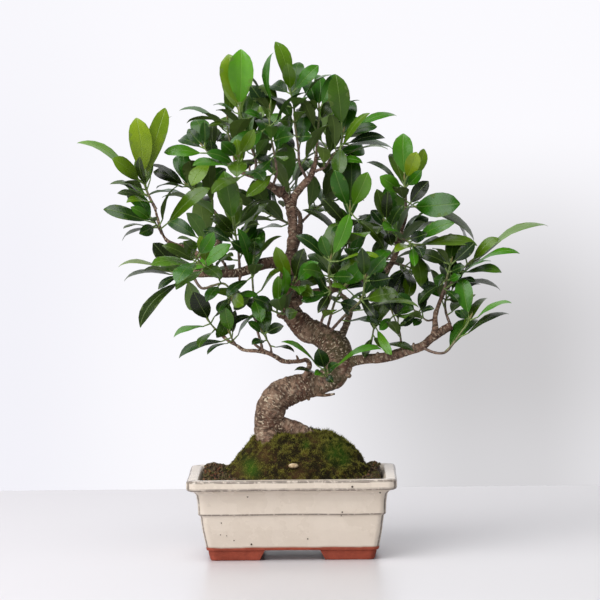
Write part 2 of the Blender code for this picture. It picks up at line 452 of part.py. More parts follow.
class Obstacles:
    """The solids placed so far, for asking whether a new leaf would touch any."""

    def __init__(self):
        self.items = []

    def add(self, owner, verts, faces):
        low = Vector([min(v[k] for v in verts) for k in range(3)])
        high = Vector([max(v[k] for v in verts) for k in range(3)])
        self.items.append((owner, low, high, BVHTree.FromPolygons(verts, faces)))

    def clear(self, verts, faces, skip=(), only=None):
        low = Vector([min(v[k] for v in verts) for k in range(3)])
        high = Vector([max(v[k] for v in verts) for k in range(3)])
        tree = None
        for owner, at_low, at_high, other in self.items:
            if owner in skip or (only and owner not in only):
                continue
            if any(low[k] > at_high[k] or high[k] < at_low[k] for k in range(3)):
                continue
            tree = tree or BVHTree.FromPolygons(verts, faces)
            if tree.overlap(other):
                return False
        return True


def shoot_start(centres, path, radius):
    """Moves a shoot's first point to just clear of the wood that carries it."""
    first, second = Vector(path[0]), Vector(path[1])
    best = None
    for rows in centres:
        for k, row in enumerate(rows):
            distance = (row.to_3d() - first).length - row[3]
            if best is None or distance < best[0]:
                ahead = rows[min(k + 1, len(rows) - 1)].to_3d() - rows[max(k - 1, 0)].to_3d()
                best = (distance, row, ahead.normalized(), k == len(rows) - 1)
    row, along, at_end = best[1:]
    centre = row.to_3d()
    out = (second - centre).normalized()
    lean = abs(out.dot(along))
    if at_end and out.dot(along) > 0.55:
        return [centre + out * (GAP + row[3] * math.sqrt(1 - lean * lean))] + [Vector(p) for p in path[1:]]
    sine = max(0.45, math.sqrt(1 - lean * lean))
    reach = (row[3] + GAP + 0.1 + radius * lean) / sine
    keep = [Vector(p) for p in path[1:] if (Vector(p) - centre).length > reach + 2.0]
    return [centre + out * reach] + keep


def stem_rows(points, radius, leaves):
    """A stem's rows: at each of its nodes two close rings, whose small side faces the leaves grow from."""
    count = 2 + math.ceil(leaves / 4)
    taper = 0.45 / (len(points) - 1)
    rows = smooth_path([(*p, radius * (1 - taper * j)) for j, p in enumerate(points)], count)
    out = [rows[0]]
    for before, row in zip(rows, rows[1:]):
        span = (row.to_3d() - before.to_3d()).length
        out += [row.lerp(before, min(0.5, 2.0 / span)), row]
    return out


def along_stem(line, t):
    """The point and the heading at t, from 0 to 1, along a stem's middle line."""
    spot = t * (len(line) - 1)
    k = min(int(spot), len(line) - 2)
    return line[k].lerp(line[k + 1], spot - k), (line[k + 1] - line[k]).normalized()


def listed_choices(at, goal, width, turn):
    """A listed leaf as it is given, then turned a little, reaching nearer or further, or shorter."""
    for shrink in (1.0, 0.86, 0.74):
        for swing in (0, 18, -18, 36, -36):
            for shift in (0, 6, -6, 12, -12, 19, -19, 27, -27, 36, -36):
                tip = at + (goal + Vector((0, shift, 0)) - at) * shrink
                yield tip, width * shrink, leaf_normal((tip - at).normalized(), turn + swing)


def filling_choices(at, ahead, number):
    """A leaf in the usual spiral round the stem, then the same with its bearing or length changed."""
    across = ahead.orthogonal().normalized()
    for trial in range(36):
        bearing = math.radians(137.5 * number + 40 + 15 * (trial % 12 // 2) * (-1) ** trial)
        away = across * math.cos(bearing) + ahead.cross(across) * math.sin(bearing)
        along = (ahead * (0.75 - 0.05 * (trial % 12)) + away + Vector((0, 0, 0.12))).normalized()
        length = FILL_LENGTHS[number % len(FILL_LENGTHS)] * (1.0, 0.85, 0.7)[trial // 12]
        tip = at + along * length
        if FILL_DEPTHS[0] < tip.y < FILL_DEPTHS[1]:
            yield tip, 0.36 * length, Vector((0, 0, 0.8)) + ahead * 0.5


def fitted_rings(corners, rings):
    """The rings with their corners counted from the one nearest the side face's first corner."""
    turn = min(range(4), key=lambda k: sum((corners[j] - rings[0][(j + k) % 4]).length for j in range(4)))
    return [[ring[(j + turn) % 4] for j in range(4)] for ring in rings]


def listed_leaves(shoot, rows):
    """The listed leaves of a shoot: each one's node, the ways it may lie and how far it lies edge-on."""
    line = [row.to_3d() for row in rows]
    wanted = []
    for t, x, y, z, width, turn in shoot[4]:
        at, _ = along_stem(line, t)
        choices = listed_choices(at, Vector((x, y, z)), width, turn)
        wanted.append((at, choices, abs(math.cos(math.radians(turn)))))
    return wanted


def filling_leaves(shoot, rows):
    """The leaves that fill a shoot, spread down its stem from the tip, in the same form."""
    line = [row.to_3d() for row in rows]
    spots = [along_stem(line, 1.0 - 0.85 * (number + 0.5) / shoot[5]) for number in range(shoot[5])]
    return [(at, filling_choices(at, ahead, number), 0.7) for number, (at, ahead) in enumerate(spots)]


def place_leaves(name, wanted, free, obstacles):
    """Gives every leaf a free side face of its shoot and its rings, clear of all that stands already."""
    placed = []
    own = (name + " leaf", name + " stem")
    for at, choices, edge_on in wanted:
        found = None
        for tip, width, normal in choices:
            toward = (tip - at).normalized()
            near = sorted(free, key=lambda key: ((free[key][0] - at).length
                                                 + 5 * (1 - free[key][1].dot(toward))))
            for key in near[:3]:
                middle, _, corners = free[key]
                rings = fitted_rings(corners, leaf_rings(middle, tip, width, normal, edge_on))
                root = [corner.lerp(end, 0.12) for corner, end in zip(corners, rings[0])]
                if (obstacles.clear(*ring_solid([root] + rings), only=own)
                        and obstacles.clear(*ring_solid([root] + rings, 0.42), skip=own)):
                    found = key
                    break
            if found is not None:
                break
        if found is None:
            continue
        del free[found]
        placed.append((found, rings))
        obstacles.add(own[0], *ring_solid([root] + rings))
    return placed


def grow_shoot(shoot, rows, placed, where, finish):
    """The shoot's body: leaves drawn out of single faces of the stem, ring by ring."""
    bm = tube_mesh(rows, 4)
    bm.faces.ensure_lookup_table()
    faces = list(bm.faces)
    for key, rings in placed:
        face = faces[key]
        for ring in rings:
            face = bmesh.ops.extrude_discrete_faces(bm, faces=[face])["faces"][0]
            for vert, corner in zip(face.verts, ring):
                vert.co = corner
    return add_mesh(shoot[0], bm, where, finish)


for stale in list(bpy.data.objects):
    bpy.data.objects.remove(stale, do_unlink=True)
pieces = collection("ficus_bonsai")
cutters = collection("cutters")
ceramic = material("glazed ceramic", (0.74, 0.69, 0.58), 0.35)
earth = material("soil", (0.09, 0.06, 0.045), 0.95)
moss = material("moss", (0.10, 0.13, 0.03), 0.95)
stone = material("pebble", (0.62, 0.5, 0.33), 0.7)
bark = material("bark", (0.27, 0.2, 0.16), 0.8)
foliage = material("leaves", (0.07, 0.19, 0.03), 0.4)

# pot: one skin from the middle of the inner floor, up and over the rim and down to the feet
profile = [
    (77.0, 52.0, 5, FLOOR_TOP), (80.0, 55.0, 6, 26), (85.5, 60.5, 7, 60), (88.5, 63.5, 7, 72),
    (*OPENING_HALF, 7, 79.5), (92.2, 67.2, 8, POT_HEIGHT), (99.5, 74.5, CORNER, POT_HEIGHT),
    (*RIM_HALF, CORNER, 79.4), (*RIM_HALF, CORNER, 74.0), (100.6, 75.6, CORNER, 71.4),
    (96.4, 71.4, CORNER, 69.6), (93.0, 68.0, CORNER, 65.0), (92.0, 67.0, CORNER, 59.0),
    (91.6, 66.6, CORNER, 46.4), (90.0, 65.0, CORNER, 44.4), (88.0, 63.0, CORNER, 30.0),
    (84.6, 59.6, CORNER, 13.0), (83.6, 58.6, CORNER, 11.0),
    (80.5, 55.5, 9, 0.0), (72.5, 47.5, 5, 0.0), (74.5, 49.5, 5, UNDERSIDE)]
pot = add_mesh("pot", ring_stack([rounded_ring(*row) for row in profile]), pieces, ceramic)
at_floor, at_top = FOOT_GAP_FLOOR / 2, FOOT_GAP_TOP / 2
front_gap = [(-at_floor - 1.2, -2), (at_floor + 1.2, -2), (at_top, 11), (-at_top, 11)]
side_gap = [(-28, -2), (28, -2), (FOOT_GAP_SIDE / 2 - 1, 11), (1 - FOOT_GAP_SIDE / 2, 11)]
boolean(pot, add_mesh("gap_front", prism(front_gap, 1, 120), cutters), "DIFFERENCE")
boolean(pot, add_mesh("gap_side", prism(side_gap, 0, 140), cutters), "DIFFERENCE")
for side in (-1, 1):
    hole = [(side * HOLE_OFFSET, 0, z, HOLE_RADIUS) for z in (UNDERSIDE - 5, FLOOR_TOP + 5)]
    hole = tube_mesh([Vector(row) for row in hole], 14)
    boolean(pot, add_mesh("drain_hole", hole, cutters), "DIFFERENCE")

# trunk and its roots, and a slightly fatter copy that clears the moss, the soil and the limbs
trunk_rows = smooth_path(TRUNK, 46)
trunk = add_mesh("trunk", tube_mesh(trunk_rows, 11), pieces, bark)
fat_trunk = add_mesh("fat_trunk", tube_mesh(trunk_rows, 11, GAP), cutters)
for k, root in enumerate(ROOTS):
    rows = smooth_path(root, 7)
    boolean(trunk, add_mesh(f"root_{k}", tube_mesh(rows, 7), cutters), "UNION")
    boolean(fat_trunk, add_mesh(f"fat_root_{k}", tube_mesh(rows, 7, GAP), cutters), "UNION")

# soil, filling the pot up to just under the rim, with the root base standing in it
soil_rings = [(76.6, 51.6, 5, FLOOR_TOP + GAP), (79.6, 54.6, 6, 26), (85.1, 60.1, 7, 60), (88.1, 63.1, 7, 72),
              (88.6, 63.6, 7, 75), (86.5, 61.5, 7, SOIL_TOP)]
soil = add_mesh("soil", ring_stack([rounded_ring(*row) for row in soil_rings]), pieces, earth)
boolean(soil, fat_trunk, "DIFFERENCE")

# moss mound, a heap on the soil round the root base
rings = []
for rho in (1.0, 0.955, 0.88, 0.78, 0.66, 0.5, 0.32, 0.14):
    ring = []
    for k in range(26):
        angle = math.tau * k / 26
        dx = math.cos(angle) * rho * (MOUND_RIGHT if math.cos(angle) > 0 else MOUND_LEFT)
        dy = math.sin(angle) * rho * MOUND_DEPTH
        x, y = MOUND_CENTRE[0] + dx, MOUND_CENTRE[1] + dy
        ring.append(Vector((x, y, SOIL_TOP + GAP + mound_height(x, y))))
    rings.append(ring)
rings.insert(0, [Vector((v.x, v.y, SOIL_TOP + GAP)) for v in rings[0]])
mound = add_mesh("moss_mound", ring_stack(rings), pieces, moss)
boolean(mound, fat_trunk, "DIFFERENCE")


def pebble_mesh(grow):
    """An egg-shaped pebble."""
    bm = bmesh.new()
    bmesh.ops.create_icosphere(bm, subdivisions=2, radius=1.0)
    size = [half + grow for half in PEBBLE_HALF]
    bmesh.ops.scale(bm, vec=size, verts=bm.verts)
    bmesh.ops.translate(bm, vec=PEBBLE_AT, verts=bm.verts)
    return bm


add_mesh("pebble", pebble_mesh(0.0), pieces, stone)
boolean(mound, add_mesh("pebble_seat", pebble_mesh(GAP), cutters), "DIFFERENCE")

# limbs: tubes out of the trunk, each cut back to clear it
obstacles = Obstacles()
obstacles.add("trunk", *tube(trunk_rows, 11))
wood = {"trunk": [trunk_rows]}
for name, branches in LIMBS.items():
    lines = []
    for k, (base, end, path) in enumerate(branches):
        count = max(6, round(sum((Vector(a) - Vector(b)).length for a, b in zip(path, path[1:])) / 9))
        radii = [base + (end - base) * j / (len(path) - 1) for j in range(len(path))]
        lines.append(smooth_path([(*p, r) for p, r in zip(path, radii)], count))
        obstacles.add(name, *tube(lines[-1], 7))
    wood[name] = lines
    limb = add_mesh(name, tube_mesh(lines[0], 7), pieces, bark)
    for k, rows in enumerate(lines[1:]):
        boolean(limb, add_mesh(f"{name}_branch_{k}", tube_mesh(rows, 6), cutters), "UNION")
    boolean(limb, fat_trunk, "DIFFERENCE")

# shoots: all the stems first, then the leaves one by one, so that nothing touches
stems = []
for shoot in SHOOTS:
    name, carrier, radius, path, listed, fill = shoot
    points = shoot_start(wood[carrier], path, radius)
    rows = stem_rows(points, radius, len(listed) + fill)
    verts, faces = tube(rows, 4)
    if not obstacles.clear(*tube(rows, 4, 0.3)):
        print("stem touches something:", name)
    obstacles.add(name + " stem", verts, faces)
    stems.append(rows)
free_sides = []
for rows in stems:
    verts, faces = tube(rows, 4)
    sides = {}
    for k, face in enumerate(faces[:-2]):
        if k // 4 % 2 == 0:
            continue
        corners = [verts[j] for j in face]
        facing = (corners[1] - corners[0]).cross(corners[3] - corners[0]).normalized()
        sides[k] = (sum(corners, Vector()) / 4, facing, corners)
    free_sides.append(sides)
placed = []
for shoot, rows, sides in zip(SHOOTS, stems, free_sides):
    placed.append(place_leaves(shoot[0], listed_leaves(shoot, rows), sides, obstacles))
for shoot, rows, sides, own in zip(SHOOTS, stems, free_sides, placed):
    own += place_leaves(shoot[0], filling_leaves(shoot, rows), sides, obstacles)
for shoot, rows, own in zip(SHOOTS, stems, placed):
    grow_shoot(shoot, rows, own, pieces, foliage)
print("leaves:", sum(len(own) for own in placed))

for cutter in cutters.objects:
    cutter.hide_render = True
    cutter.display_type = "WIRE"

# the whole object's box stands on the floor with its middle on the origin
bpy.context.view_layer.update()
corners = [item.matrix_world @ Vector(corner) for item in pieces.objects for corner in item.bound_box]
middle = [(min(v[k] for v in corners) + max(v[k] for v in corners)) / 2 for k in (0, 1)]
base = min(v.z for v in corners)
for item in [*pieces.objects, *cutters.objects]:
    item.location -= Vector((middle[0], middle[1], base))
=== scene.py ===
"""Ficus bonsai in a moss mound, in a rectangular glazed pot on four feet.

Sizes are in millimetres about the middle of the pot, with the front of the tree toward -Y, and go into
metres in the model's frame as each mesh is made.
"""
import itertools
import math

import bmesh
import bpy
import numpy as np
from mathutils import Matrix, Vector
from mathutils.bvhtree import BVHTree


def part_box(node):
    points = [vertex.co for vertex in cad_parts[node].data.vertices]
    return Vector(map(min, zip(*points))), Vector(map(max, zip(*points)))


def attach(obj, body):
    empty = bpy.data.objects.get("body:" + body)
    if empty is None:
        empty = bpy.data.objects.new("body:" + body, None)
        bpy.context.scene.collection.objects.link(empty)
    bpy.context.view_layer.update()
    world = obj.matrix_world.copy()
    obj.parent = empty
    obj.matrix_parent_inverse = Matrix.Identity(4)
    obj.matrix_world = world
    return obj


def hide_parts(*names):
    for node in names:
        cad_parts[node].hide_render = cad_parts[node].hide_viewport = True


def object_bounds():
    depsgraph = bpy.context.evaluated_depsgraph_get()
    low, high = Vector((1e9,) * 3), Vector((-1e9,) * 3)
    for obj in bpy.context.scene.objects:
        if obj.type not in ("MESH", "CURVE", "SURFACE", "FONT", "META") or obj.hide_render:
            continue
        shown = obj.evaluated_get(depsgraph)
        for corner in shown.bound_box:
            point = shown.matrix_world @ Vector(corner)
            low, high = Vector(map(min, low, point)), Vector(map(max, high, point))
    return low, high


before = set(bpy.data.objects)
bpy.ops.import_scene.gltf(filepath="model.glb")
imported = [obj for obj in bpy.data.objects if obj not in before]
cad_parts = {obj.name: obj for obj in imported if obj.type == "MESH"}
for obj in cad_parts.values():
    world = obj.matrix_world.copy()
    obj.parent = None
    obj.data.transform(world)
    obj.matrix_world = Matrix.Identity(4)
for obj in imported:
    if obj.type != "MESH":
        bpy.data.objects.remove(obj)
cad_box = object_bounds()
pot_low, pot_high = (np.array(corner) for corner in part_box("pot"))
POT_MIDDLE = np.array([(pot_low[0] + pot_high[0]) / 2, (pot_low[1] + pot_high[1]) / 2, pot_low[2]])

# ---------------------------------------------------------------------------------------------------
# Pot: a pressed terracotta box with a heavy rolled rim, a stepped belt and four corner feet. A thick
# cream glaze is poured over all but the feet; it runs thin and darker on the edges, and its lower
# line is a little wavy where it was wiped back before firing.
GLAZE_LINE = 13.7  # the height where the glaze ends
LONGER, SHIFTED = 1.016, 1.6
CORNERS = ((1, 1), (-1, 1), (-1, -1), (1, -1))  # which way each corner lies
ROUND_CORNER, ALONG_FRONT, ALONG_END = 17, 38, 28  # samples round a corner and along the walls
DRAIN_APART, DRAIN_RADIUS, DRAIN_SIDES = 44, 9, 40
FOOT_RUN = 60  # sections from one end of a foot to the other
PIT_SIDES = 12


def value_noise(points, size, seed=0):
    """Smooth noise from -1 to 1: random numbers on a lattice `size` apart, eased between the eight round a
    point."""
    cell = np.asarray(points, float) / size
    base = np.floor(cell).astype(np.int64)
    part = cell - base
    part = part * part * (3 - 2 * part)
    total = 0.0
    for corner in np.ndindex(2, 2, 2):
        at = base + np.array(corner)
        mix = np.bitwise_xor.reduce(at * (73856093, 19349663, 83492791), axis=-1) ^ (seed * 2654435 + 12345)
        mix = ((mix ^ (mix >> 13)) * 1274126177) & 0x7FFFFFFF
        mix = mix ^ (mix >> 15)
        weight = np.prod(np.where(np.array(corner), part, 1 - part), axis=-1)
        total = total + weight * ((mix & 0xFFFF) / 32767.5 - 1)
    return total


def lined_up(points, step, soften):
    """A line through `points` with a point every `step`, its corners rounded by a bell-shaped average."""
    points = np.asarray(points, float)
    reach = np.concatenate([[0], np.cumsum(np.linalg.norm(np.diff(points[:, :2], axis=0), axis=1))])
    at = np.linspace(0, reach[-1], max(3, int(reach[-1] / step)))
    line = np.stack([np.interp(at, reach, points[:, k]) for k in range(points.shape[1])], 1)
    half = int(3 * soften / step) + 1
    bell = np.exp(-0.5 * (np.arange(-half, half + 1) * step / soften) ** 2)
    bell /= bell.sum()
    padded = np.concatenate([2 * line[:1] - line[half:0:-1], line, 2 * line[-1:] - line[-2:-half - 2:-1]])
    return np.stack([np.convolve(padded[:, k], bell, "valid") for k in range(line.shape[1])], 1)


def grid_faces(rows, columns):
    """Four-cornered faces of a grid of rows and columns, its columns joined round."""
    i, j = np.meshgrid(np.arange(rows - 1), np.arange(columns), indexing="ij")
    k = (j + 1) % columns
    low, high = i * columns, (i + 1) * columns
    return np.stack([low + j, low + k, high + k, high + j], -1).reshape(-1, 4)


def capped_grid(rows, columns):
    """The faces of a grid joined round, and one face over each of its ends."""
    last = (rows - 1) * columns
    return [grid_faces(rows, columns), [range(columns)], [range(last, last + columns)]]


def make_piece(name, points, face_groups, marks=None, closed=True, sharp=None):
    """A mesh object from points in millimetres and groups of faces, with a value for each point under each
    mark's name. The faces of a closed piece are turned to point outward."""
    mesh = bpy.data.meshes.new(name)
    points = np.asarray(points, float).reshape(-1, 3) * 0.001 + POT_MIDDLE
    mesh.from_pydata(points.tolist(), [], [list(face) for group in face_groups for face in group])
    for key, values in (marks or {}).items():
        values = np.asarray(values, float)
        layer = mesh.attributes.new(key, "FLOAT_VECTOR" if values.ndim == 2 else "FLOAT", "POINT")
        layer.data.foreach_set("vector" if values.ndim == 2 else "value", values.ravel())
    if closed:
        shell = bmesh.new()
        shell.from_mesh(mesh)
        bmesh.ops.recalc_face_normals(shell, faces=shell.faces)
        shell.to_mesh(mesh)
        shell.free()
    mesh.shade_smooth()
    if sharp:
        mesh.set_sharp_from_angle(angle=math.radians(sharp))
    piece = bpy.data.objects.new(name, mesh)
    bpy.context.scene.collection.objects.link(piece)
    return piece


def new_finish(name, roughness=0.5, mirror=0.5):
    """An empty material, its nodes and its shader, with how rough it is and how strongly it mirrors."""
    made = bpy.data.materials.new(name)
    made.use_nodes = True
    shader = made.node_tree.nodes["Principled BSDF"]
    shader.inputs["Roughness"].default_value = roughness
    shader.inputs["Specular IOR Level"].default_value = mirror
    return made, made.node_tree, shader


def add_node(tree, kind, inputs=None, **settings):
    """A node of that kind with its settings, its inputs set to numbers or joined to other nodes' outputs."""
    made = tree.nodes.new("ShaderNode" + kind)
    for key, value in settings.items():
        setattr(made, key, value)
    for key, value in (inputs or {}).items():
        if isinstance(value, bpy.types.NodeSocket):
            tree.links.new(value, made.inputs[key])
        else:
            made.inputs[key].default_value = value
    return made


def own_place(tree):
    """Where on the object a point lies, in metres."""
    return add_node(tree, "TexCoord").outputs["Object"]


def read_mark(tree, name, kind="Fac"):
    """The value that the mesh holds under a mark's name."""
    return add_node(tree, "Attribute", attribute_name=name).outputs[kind]


def blend_colours(share, first, second):
    """Two colours mixed by a share from 0 to 1. At least one of the three comes from a node."""
    tree = next(value for value in (share, first, second) if isinstance(value, bpy.types.NodeSocket)).id_data
    mixed = add_node(tree, "Mix", data_type="RGBA")
    for socket, value in ((mixed.inputs[0], share), (mixed.inputs[6], first), (mixed.inputs[7], second)):
        if isinstance(value, bpy.types.NodeSocket):
            tree.links.new(value, socket)
        else:
            socket.default_value = (*value, 1.0) if isinstance(value, tuple) else value
    return mixed.outputs[2]


def span(value, low, high, to_low=0.0, to_high=1.0):
    """A value eased from one range to another and held at its ends."""
    made = add_node(value.id_data, "MapRange", {
        "Value": value, "From Min": low, "From Max": high, "To Min": to_low, "To Max": to_high},
        interpolation_type="SMOOTHSTEP")
    return made.outputs["Result"]


def times(first, second, operation="MULTIPLY"):
    """Two numbers joined by a sum or product."""
    return add_node(first.id_data, "Math", {0: first, 1: second}, operation=operation).outputs[0]


def stain(colour, share, strength, over):
    """A colour with another laid over it by a share, at most as strongly as given."""
    return blend_colours(times(share, strength), colour, over)


def fine_noise(where, size_mm, detail=2.0, rough=0.5):
    """Noise whose features are about that many millimetres across."""
    return add_node(where.id_data, "TexNoise", {
        "Vector": where, "Scale": 1000.0 / size_mm, "Detail": detail, "Roughness": rough}).outputs["Fac"]


def raise_surface(shader, height, depth_mm):
    """Bump from a height, its full range worth that many millimetres."""
    bump = add_node(height.id_data, "Bump", {"Height": height, "Strength": 1.0, "Distance": depth_mm * 0.001})
    height.id_data.links.new(bump.outputs["Normal"], shader.inputs["Normal"])


def outline_samples():
    """The rounded rectangle's samples: how far each leans to a corner in x and y, and its heading."""
    parts = []
    for quarter, (sx, sy) in enumerate(CORNERS):
        heading = np.linspace(quarter, quarter + 1, ROUND_CORNER) * math.pi / 2
        parts.append(np.stack([np.full(ROUND_CORNER, sx), np.full(ROUND_CORNER, sy), heading], 1))
        nx, ny = CORNERS[(quarter + 1) % 4]
        count = (ALONG_FRONT, ALONG_END)[quarter % 2]
        t = np.linspace(0, 1, count + 2)[1:-1]
        parts.append(np.stack([sx + (nx - sx) * t, sy + (ny - sy) * t, np.full(count, heading[-1])], 1))
    return np.concatenate(parts)


def box_rings(profile, samples):
    """Rings of a rounded box: for each (half length, half depth, corner radius, z) row, the corner circles'
    centres plus the radius along each sample's heading."""
    half_x, half_y, radius, z = (profile[:, k, None] for k in range(4))
    x = samples[:, 0] * (half_x - radius) + radius * np.cos(samples[:, 2])
    y = samples[:, 1] * (half_y - radius) + radius * np.sin(samples[:, 2])
    return np.stack([x, y, np.broadcast_to(z, x.shape)], -1)


samples = outline_samples()
# the wall from the inside of the floor, over the rim and down to the underside: half length, half depth,
# corner radius and height
wall = np.array([
    (77.0, 52.0, 5, 20.0), (80.0, 55.0, 6, 26.0), (85.5, 60.5, 7, 60.0), (88.5, 63.5, 7, 72.0),
    (90.5, 65.5, 7, 79.5), (92.0, 67.0, 7.5, 81.8), (95.0, 70.0, 8.5, 82.1), (99.9, 74.9, 9.5, 82.0),
    (101.8, 76.8, 10, 81.5), (102.7, 77.7, 10, 79.8), (102.8, 77.8, 10, 74.0), (102.0, 77.0, 10, 72.0),
    (99.6, 74.6, 9.5, 70.8), (96.2, 71.2, 9, 69.9), (93.6, 68.6, 8.5, 67.0), (92.4, 67.4, 8, 60.0),
    (91.8, 66.8, 7.5, 46.6), (89.9, 64.9, 7.5, 45.2), (88.2, 63.2, 7.5, 31.0), (85.2, 60.2, 7.5, 15.0),
    (84.8, 59.8, 7.5, 12.6), (84.5, 59.5, 7.5, 10.5), (83.7, 58.7, 7, 10.0), (76.0, 51.0, 7, 10.4)])
section = lined_up(wall[:, [0, 3, 1, 2]], 0.6, 0.55)
rings = box_rings(section[:, [0, 2, 3, 1]], samples)
past_rim = np.clip((np.arange(len(section)) - np.argmax(section[:, 0] > 93)) / 5, 0, 1)[:, None]
# the hand of the maker: slow waves in the walls, and rim and belt lines that rise and fall
headings = np.stack([np.cos(samples[:, 2]), np.sin(samples[:, 2]), np.zeros(len(samples))], 1)
wave = 0.4 * value_noise(rings, 42, 3) + 0.14 * value_noise(rings, 11, 5)
rings = rings + headings[None] * (wave * (0.3 + 0.7 * past_rim))[..., None]
rings[..., 2] += past_rim * 0.55 * value_noise(rings * (1, 1, 0), 55, 9)
# the glaze is thin where the wall turns a sharp corner, and down the upright corners
bend = np.gradient(np.unwrap(np.arctan2(np.gradient(section[:, 1]), np.gradient(section[:, 0]))))
off_side = np.abs(np.degrees(np.arcsin(np.clip(np.abs(np.sin(samples[:, 2])), 0, 1))) - 37)
upright = np.clip(1.3 - off_side / 11, 0, 1)
thin = np.maximum(np.clip(-bend * 7.0 - 0.5, 0, 1)[:, None], 0.9 * upright[None])
thin = np.clip(thin * (0.95 + 0.5 * value_noise(rings, 8, 12)), 0, 1) * past_rim
line = GLAZE_LINE + 0.55 * value_noise(rings, 21, 7) + 0.25 * value_noise(rings, 5, 8)
open_inside = (past_rim == 0) & (rings[..., 2] < 72)
glazed = np.clip((rings[..., 2] - line) / 0.5 + 0.5, 0, 1) * ~open_inside
hem = np.clip(1 - np.abs(rings[..., 2] - line - 0.4) / 0.9, 0, 1) * past_rim
body = make_piece("glazed_pot", rings, capped_grid(len(section), len(samples)),
                  {"thin_glaze": thin.ravel(), "glazed": glazed.ravel(), "glaze_hem": hem.ravel()})
# two drain holes through the floor
for side in (-1, 1):
    turn = np.linspace(0, math.tau, DRAIN_SIDES, endpoint=False)
    ring = np.stack([side * DRAIN_APART + DRAIN_RADIUS * np.cos(turn), DRAIN_RADIUS * np.sin(turn),
                     0 * turn], 1)
    hole = make_piece("drain_hole", np.concatenate([ring + (0, 0, 6), ring + (0, 0, 24)]),
                      capped_grid(2, DRAIN_SIDES))
    cut = body.modifiers.new("drain", "BOOLEAN")
    cut.operation = "DIFFERENCE"
    cut.solver = "EXACT"
    cut.object = hole
    bpy.context.view_layer.update()
    drilled = bpy.data.meshes.new_from_object(body.evaluated_get(bpy.context.evaluated_depsgraph_get()))
    body.modifiers.clear()
    body.data = drilled
    bpy.data.objects.remove(hole)

# the feet: an L under each corner, its section carried round the corner and its ends cut back to the floor
foot = np.array([(-1.9, 13.2), (-1.6, 10.4), (-1.7, 8.5), (-3.0, 3.0), (-3.6, 0.9), (-4.4, 0.05), (-5.6, 0.0),
                 (-8.8, 0.0), (-10.6, 0.35), (-11.2, 2.0), (-10.4, 9.0), (-10.0, 13.2)])
foot = lined_up(np.concatenate([foot, foot[:1]]), 0.7, 0.3)[:-1]
run = np.linspace(0, 1, FOOT_RUN)[:, None]
out, z = foot[None, :, 0], foot[None, :, 1]
half_x, half_y, radius = 84.0 + out, 59.0 + out, 8.5 + out * 0.6
end_x = 26.6 + 5.8 * np.clip(11 - z, 0, 11) / 11
end_y = 24.4 + 3.4 * np.clip(11 - z, 0, 11) / 11
quarter = math.pi / 2 * np.clip((run - 0.5) / 0.16, 0, 1)
x = np.minimum(run / 0.5, 1) * (half_x - radius - end_x) + end_x + radius * np.sin(quarter)
y = half_y - radius - np.clip((run - 0.66) / 0.34, 0, 1) * (half_y - radius - end_y)
y = y + radius * np.cos(quarter)
clay = bmesh.new()
clay.from_mesh(body.data)
for sx, sy in CORNERS:
    shape = np.stack([sx * x, sy * y, z + 0 * x], -1)
    shape = shape + 0.2 * value_noise(shape, 12, 21)[..., None] * np.array([sx, sy, 0.0])
    piece = make_piece("foot", shape, capped_grid(FOOT_RUN, shape.shape[1]))
    clay.from_mesh(piece.data)
    bpy.data.objects.remove(piece)
# pinholes in the glaze, each a dark dimple: how far along its wall, its height and its radius
front_pits = [(59, 75.5, 1.1), (86, 68.5, 0.8), (-43, 65.5, 0.9), (49, 49.0, 0.8), (48, 45.5, 0.7),
              (-69, 39.0, 0.6), (-40, 17.0, 1.0), (15, 22.0, 0.7), (-70, 27.0, 0.5), (-57, 21.0, 0.6),
              (-64, 26.0, 0.5)]
other_pits = [(44, 52.0, 0.7), (-38, 28.0, 0.9), (20, 75.0, 0.8), (-61, 60.0, 0.6), (5, 38.0, 0.5)]
outer = section[np.argmax(section[:, 0] > 102):][::-1]
turn = np.linspace(0, math.tau, PIT_SIDES, endpoint=False)
for sign, pits in ((-1, front_pits), (1, other_pits)):
    for along, height, size in pits:
        wall_y = np.interp(height, outer[:, 1], outer[:, 2])
        rim = np.stack([along + size * np.cos(turn), np.full(PIT_SIDES, sign * (wall_y + 0.33)),
                        height + size * np.sin(turn)], 1)
        everywhere = np.ones(2 * PIT_SIDES)
        piece = make_piece("pinhole", np.concatenate([rim, rim - (0, sign * 1.2, 0)]),
                           capped_grid(2, PIT_SIDES), {"pit": everywhere, "glazed": everywhere})
        clay.from_mesh(piece.data)
        bpy.data.objects.remove(piece)
# firing left the pot a touch longer to the left than its mould
for corner in clay.verts:
    corner.co.x = POT_MIDDLE[0] + (corner.co.x - POT_MIDDLE[0]) * LONGER - SHIFTED * 0.001
clay.to_mesh(body.data)
clay.free()
body.data.shade_smooth()
body.data.set_sharp_from_angle(angle=math.radians(40))
finish, tree, shader = new_finish("cream_glaze_over_terracotta")
where = own_place(tree)
glaze_at = read_mark(tree, "glazed")
thin_at = read_mark(tree, "thin_glaze")
hem_at = read_mark(tree, "glaze_hem")
pit_at = read_mark(tree, "pit")
cloud = span(fine_noise(where, 34, 4.0, 0.55), 0.3, 0.7)
cream = blend_colours(cloud, (0.625, 0.54, 0.450), (0.675, 0.59, 0.50))
speck = span(fine_noise(where, 1.6, 2.0), 0.62, 0.75)
cream = stain(cream, speck, 0.16, (0.50, 0.40, 0.31))
edge_break = times(span(thin_at, 0.12, 0.6),
                   span(fine_noise(where, 3.2, 3.0), 0.30, 0.50, 0.35, 1.0))
cream = stain(cream, edge_break, 0.85, (0.135, 0.105, 0.085))
cream = blend_colours(pit_at, cream, (0.05, 0.035, 0.025))
clay_cloud = span(fine_noise(where, 9, 5.0, 0.65), 0.3, 0.75)
bare = blend_colours(clay_cloud, (0.23, 0.038, 0.017), (0.34, 0.062, 0.030))
grog = span(fine_noise(where, 0.9, 2.0), 0.6, 0.72)
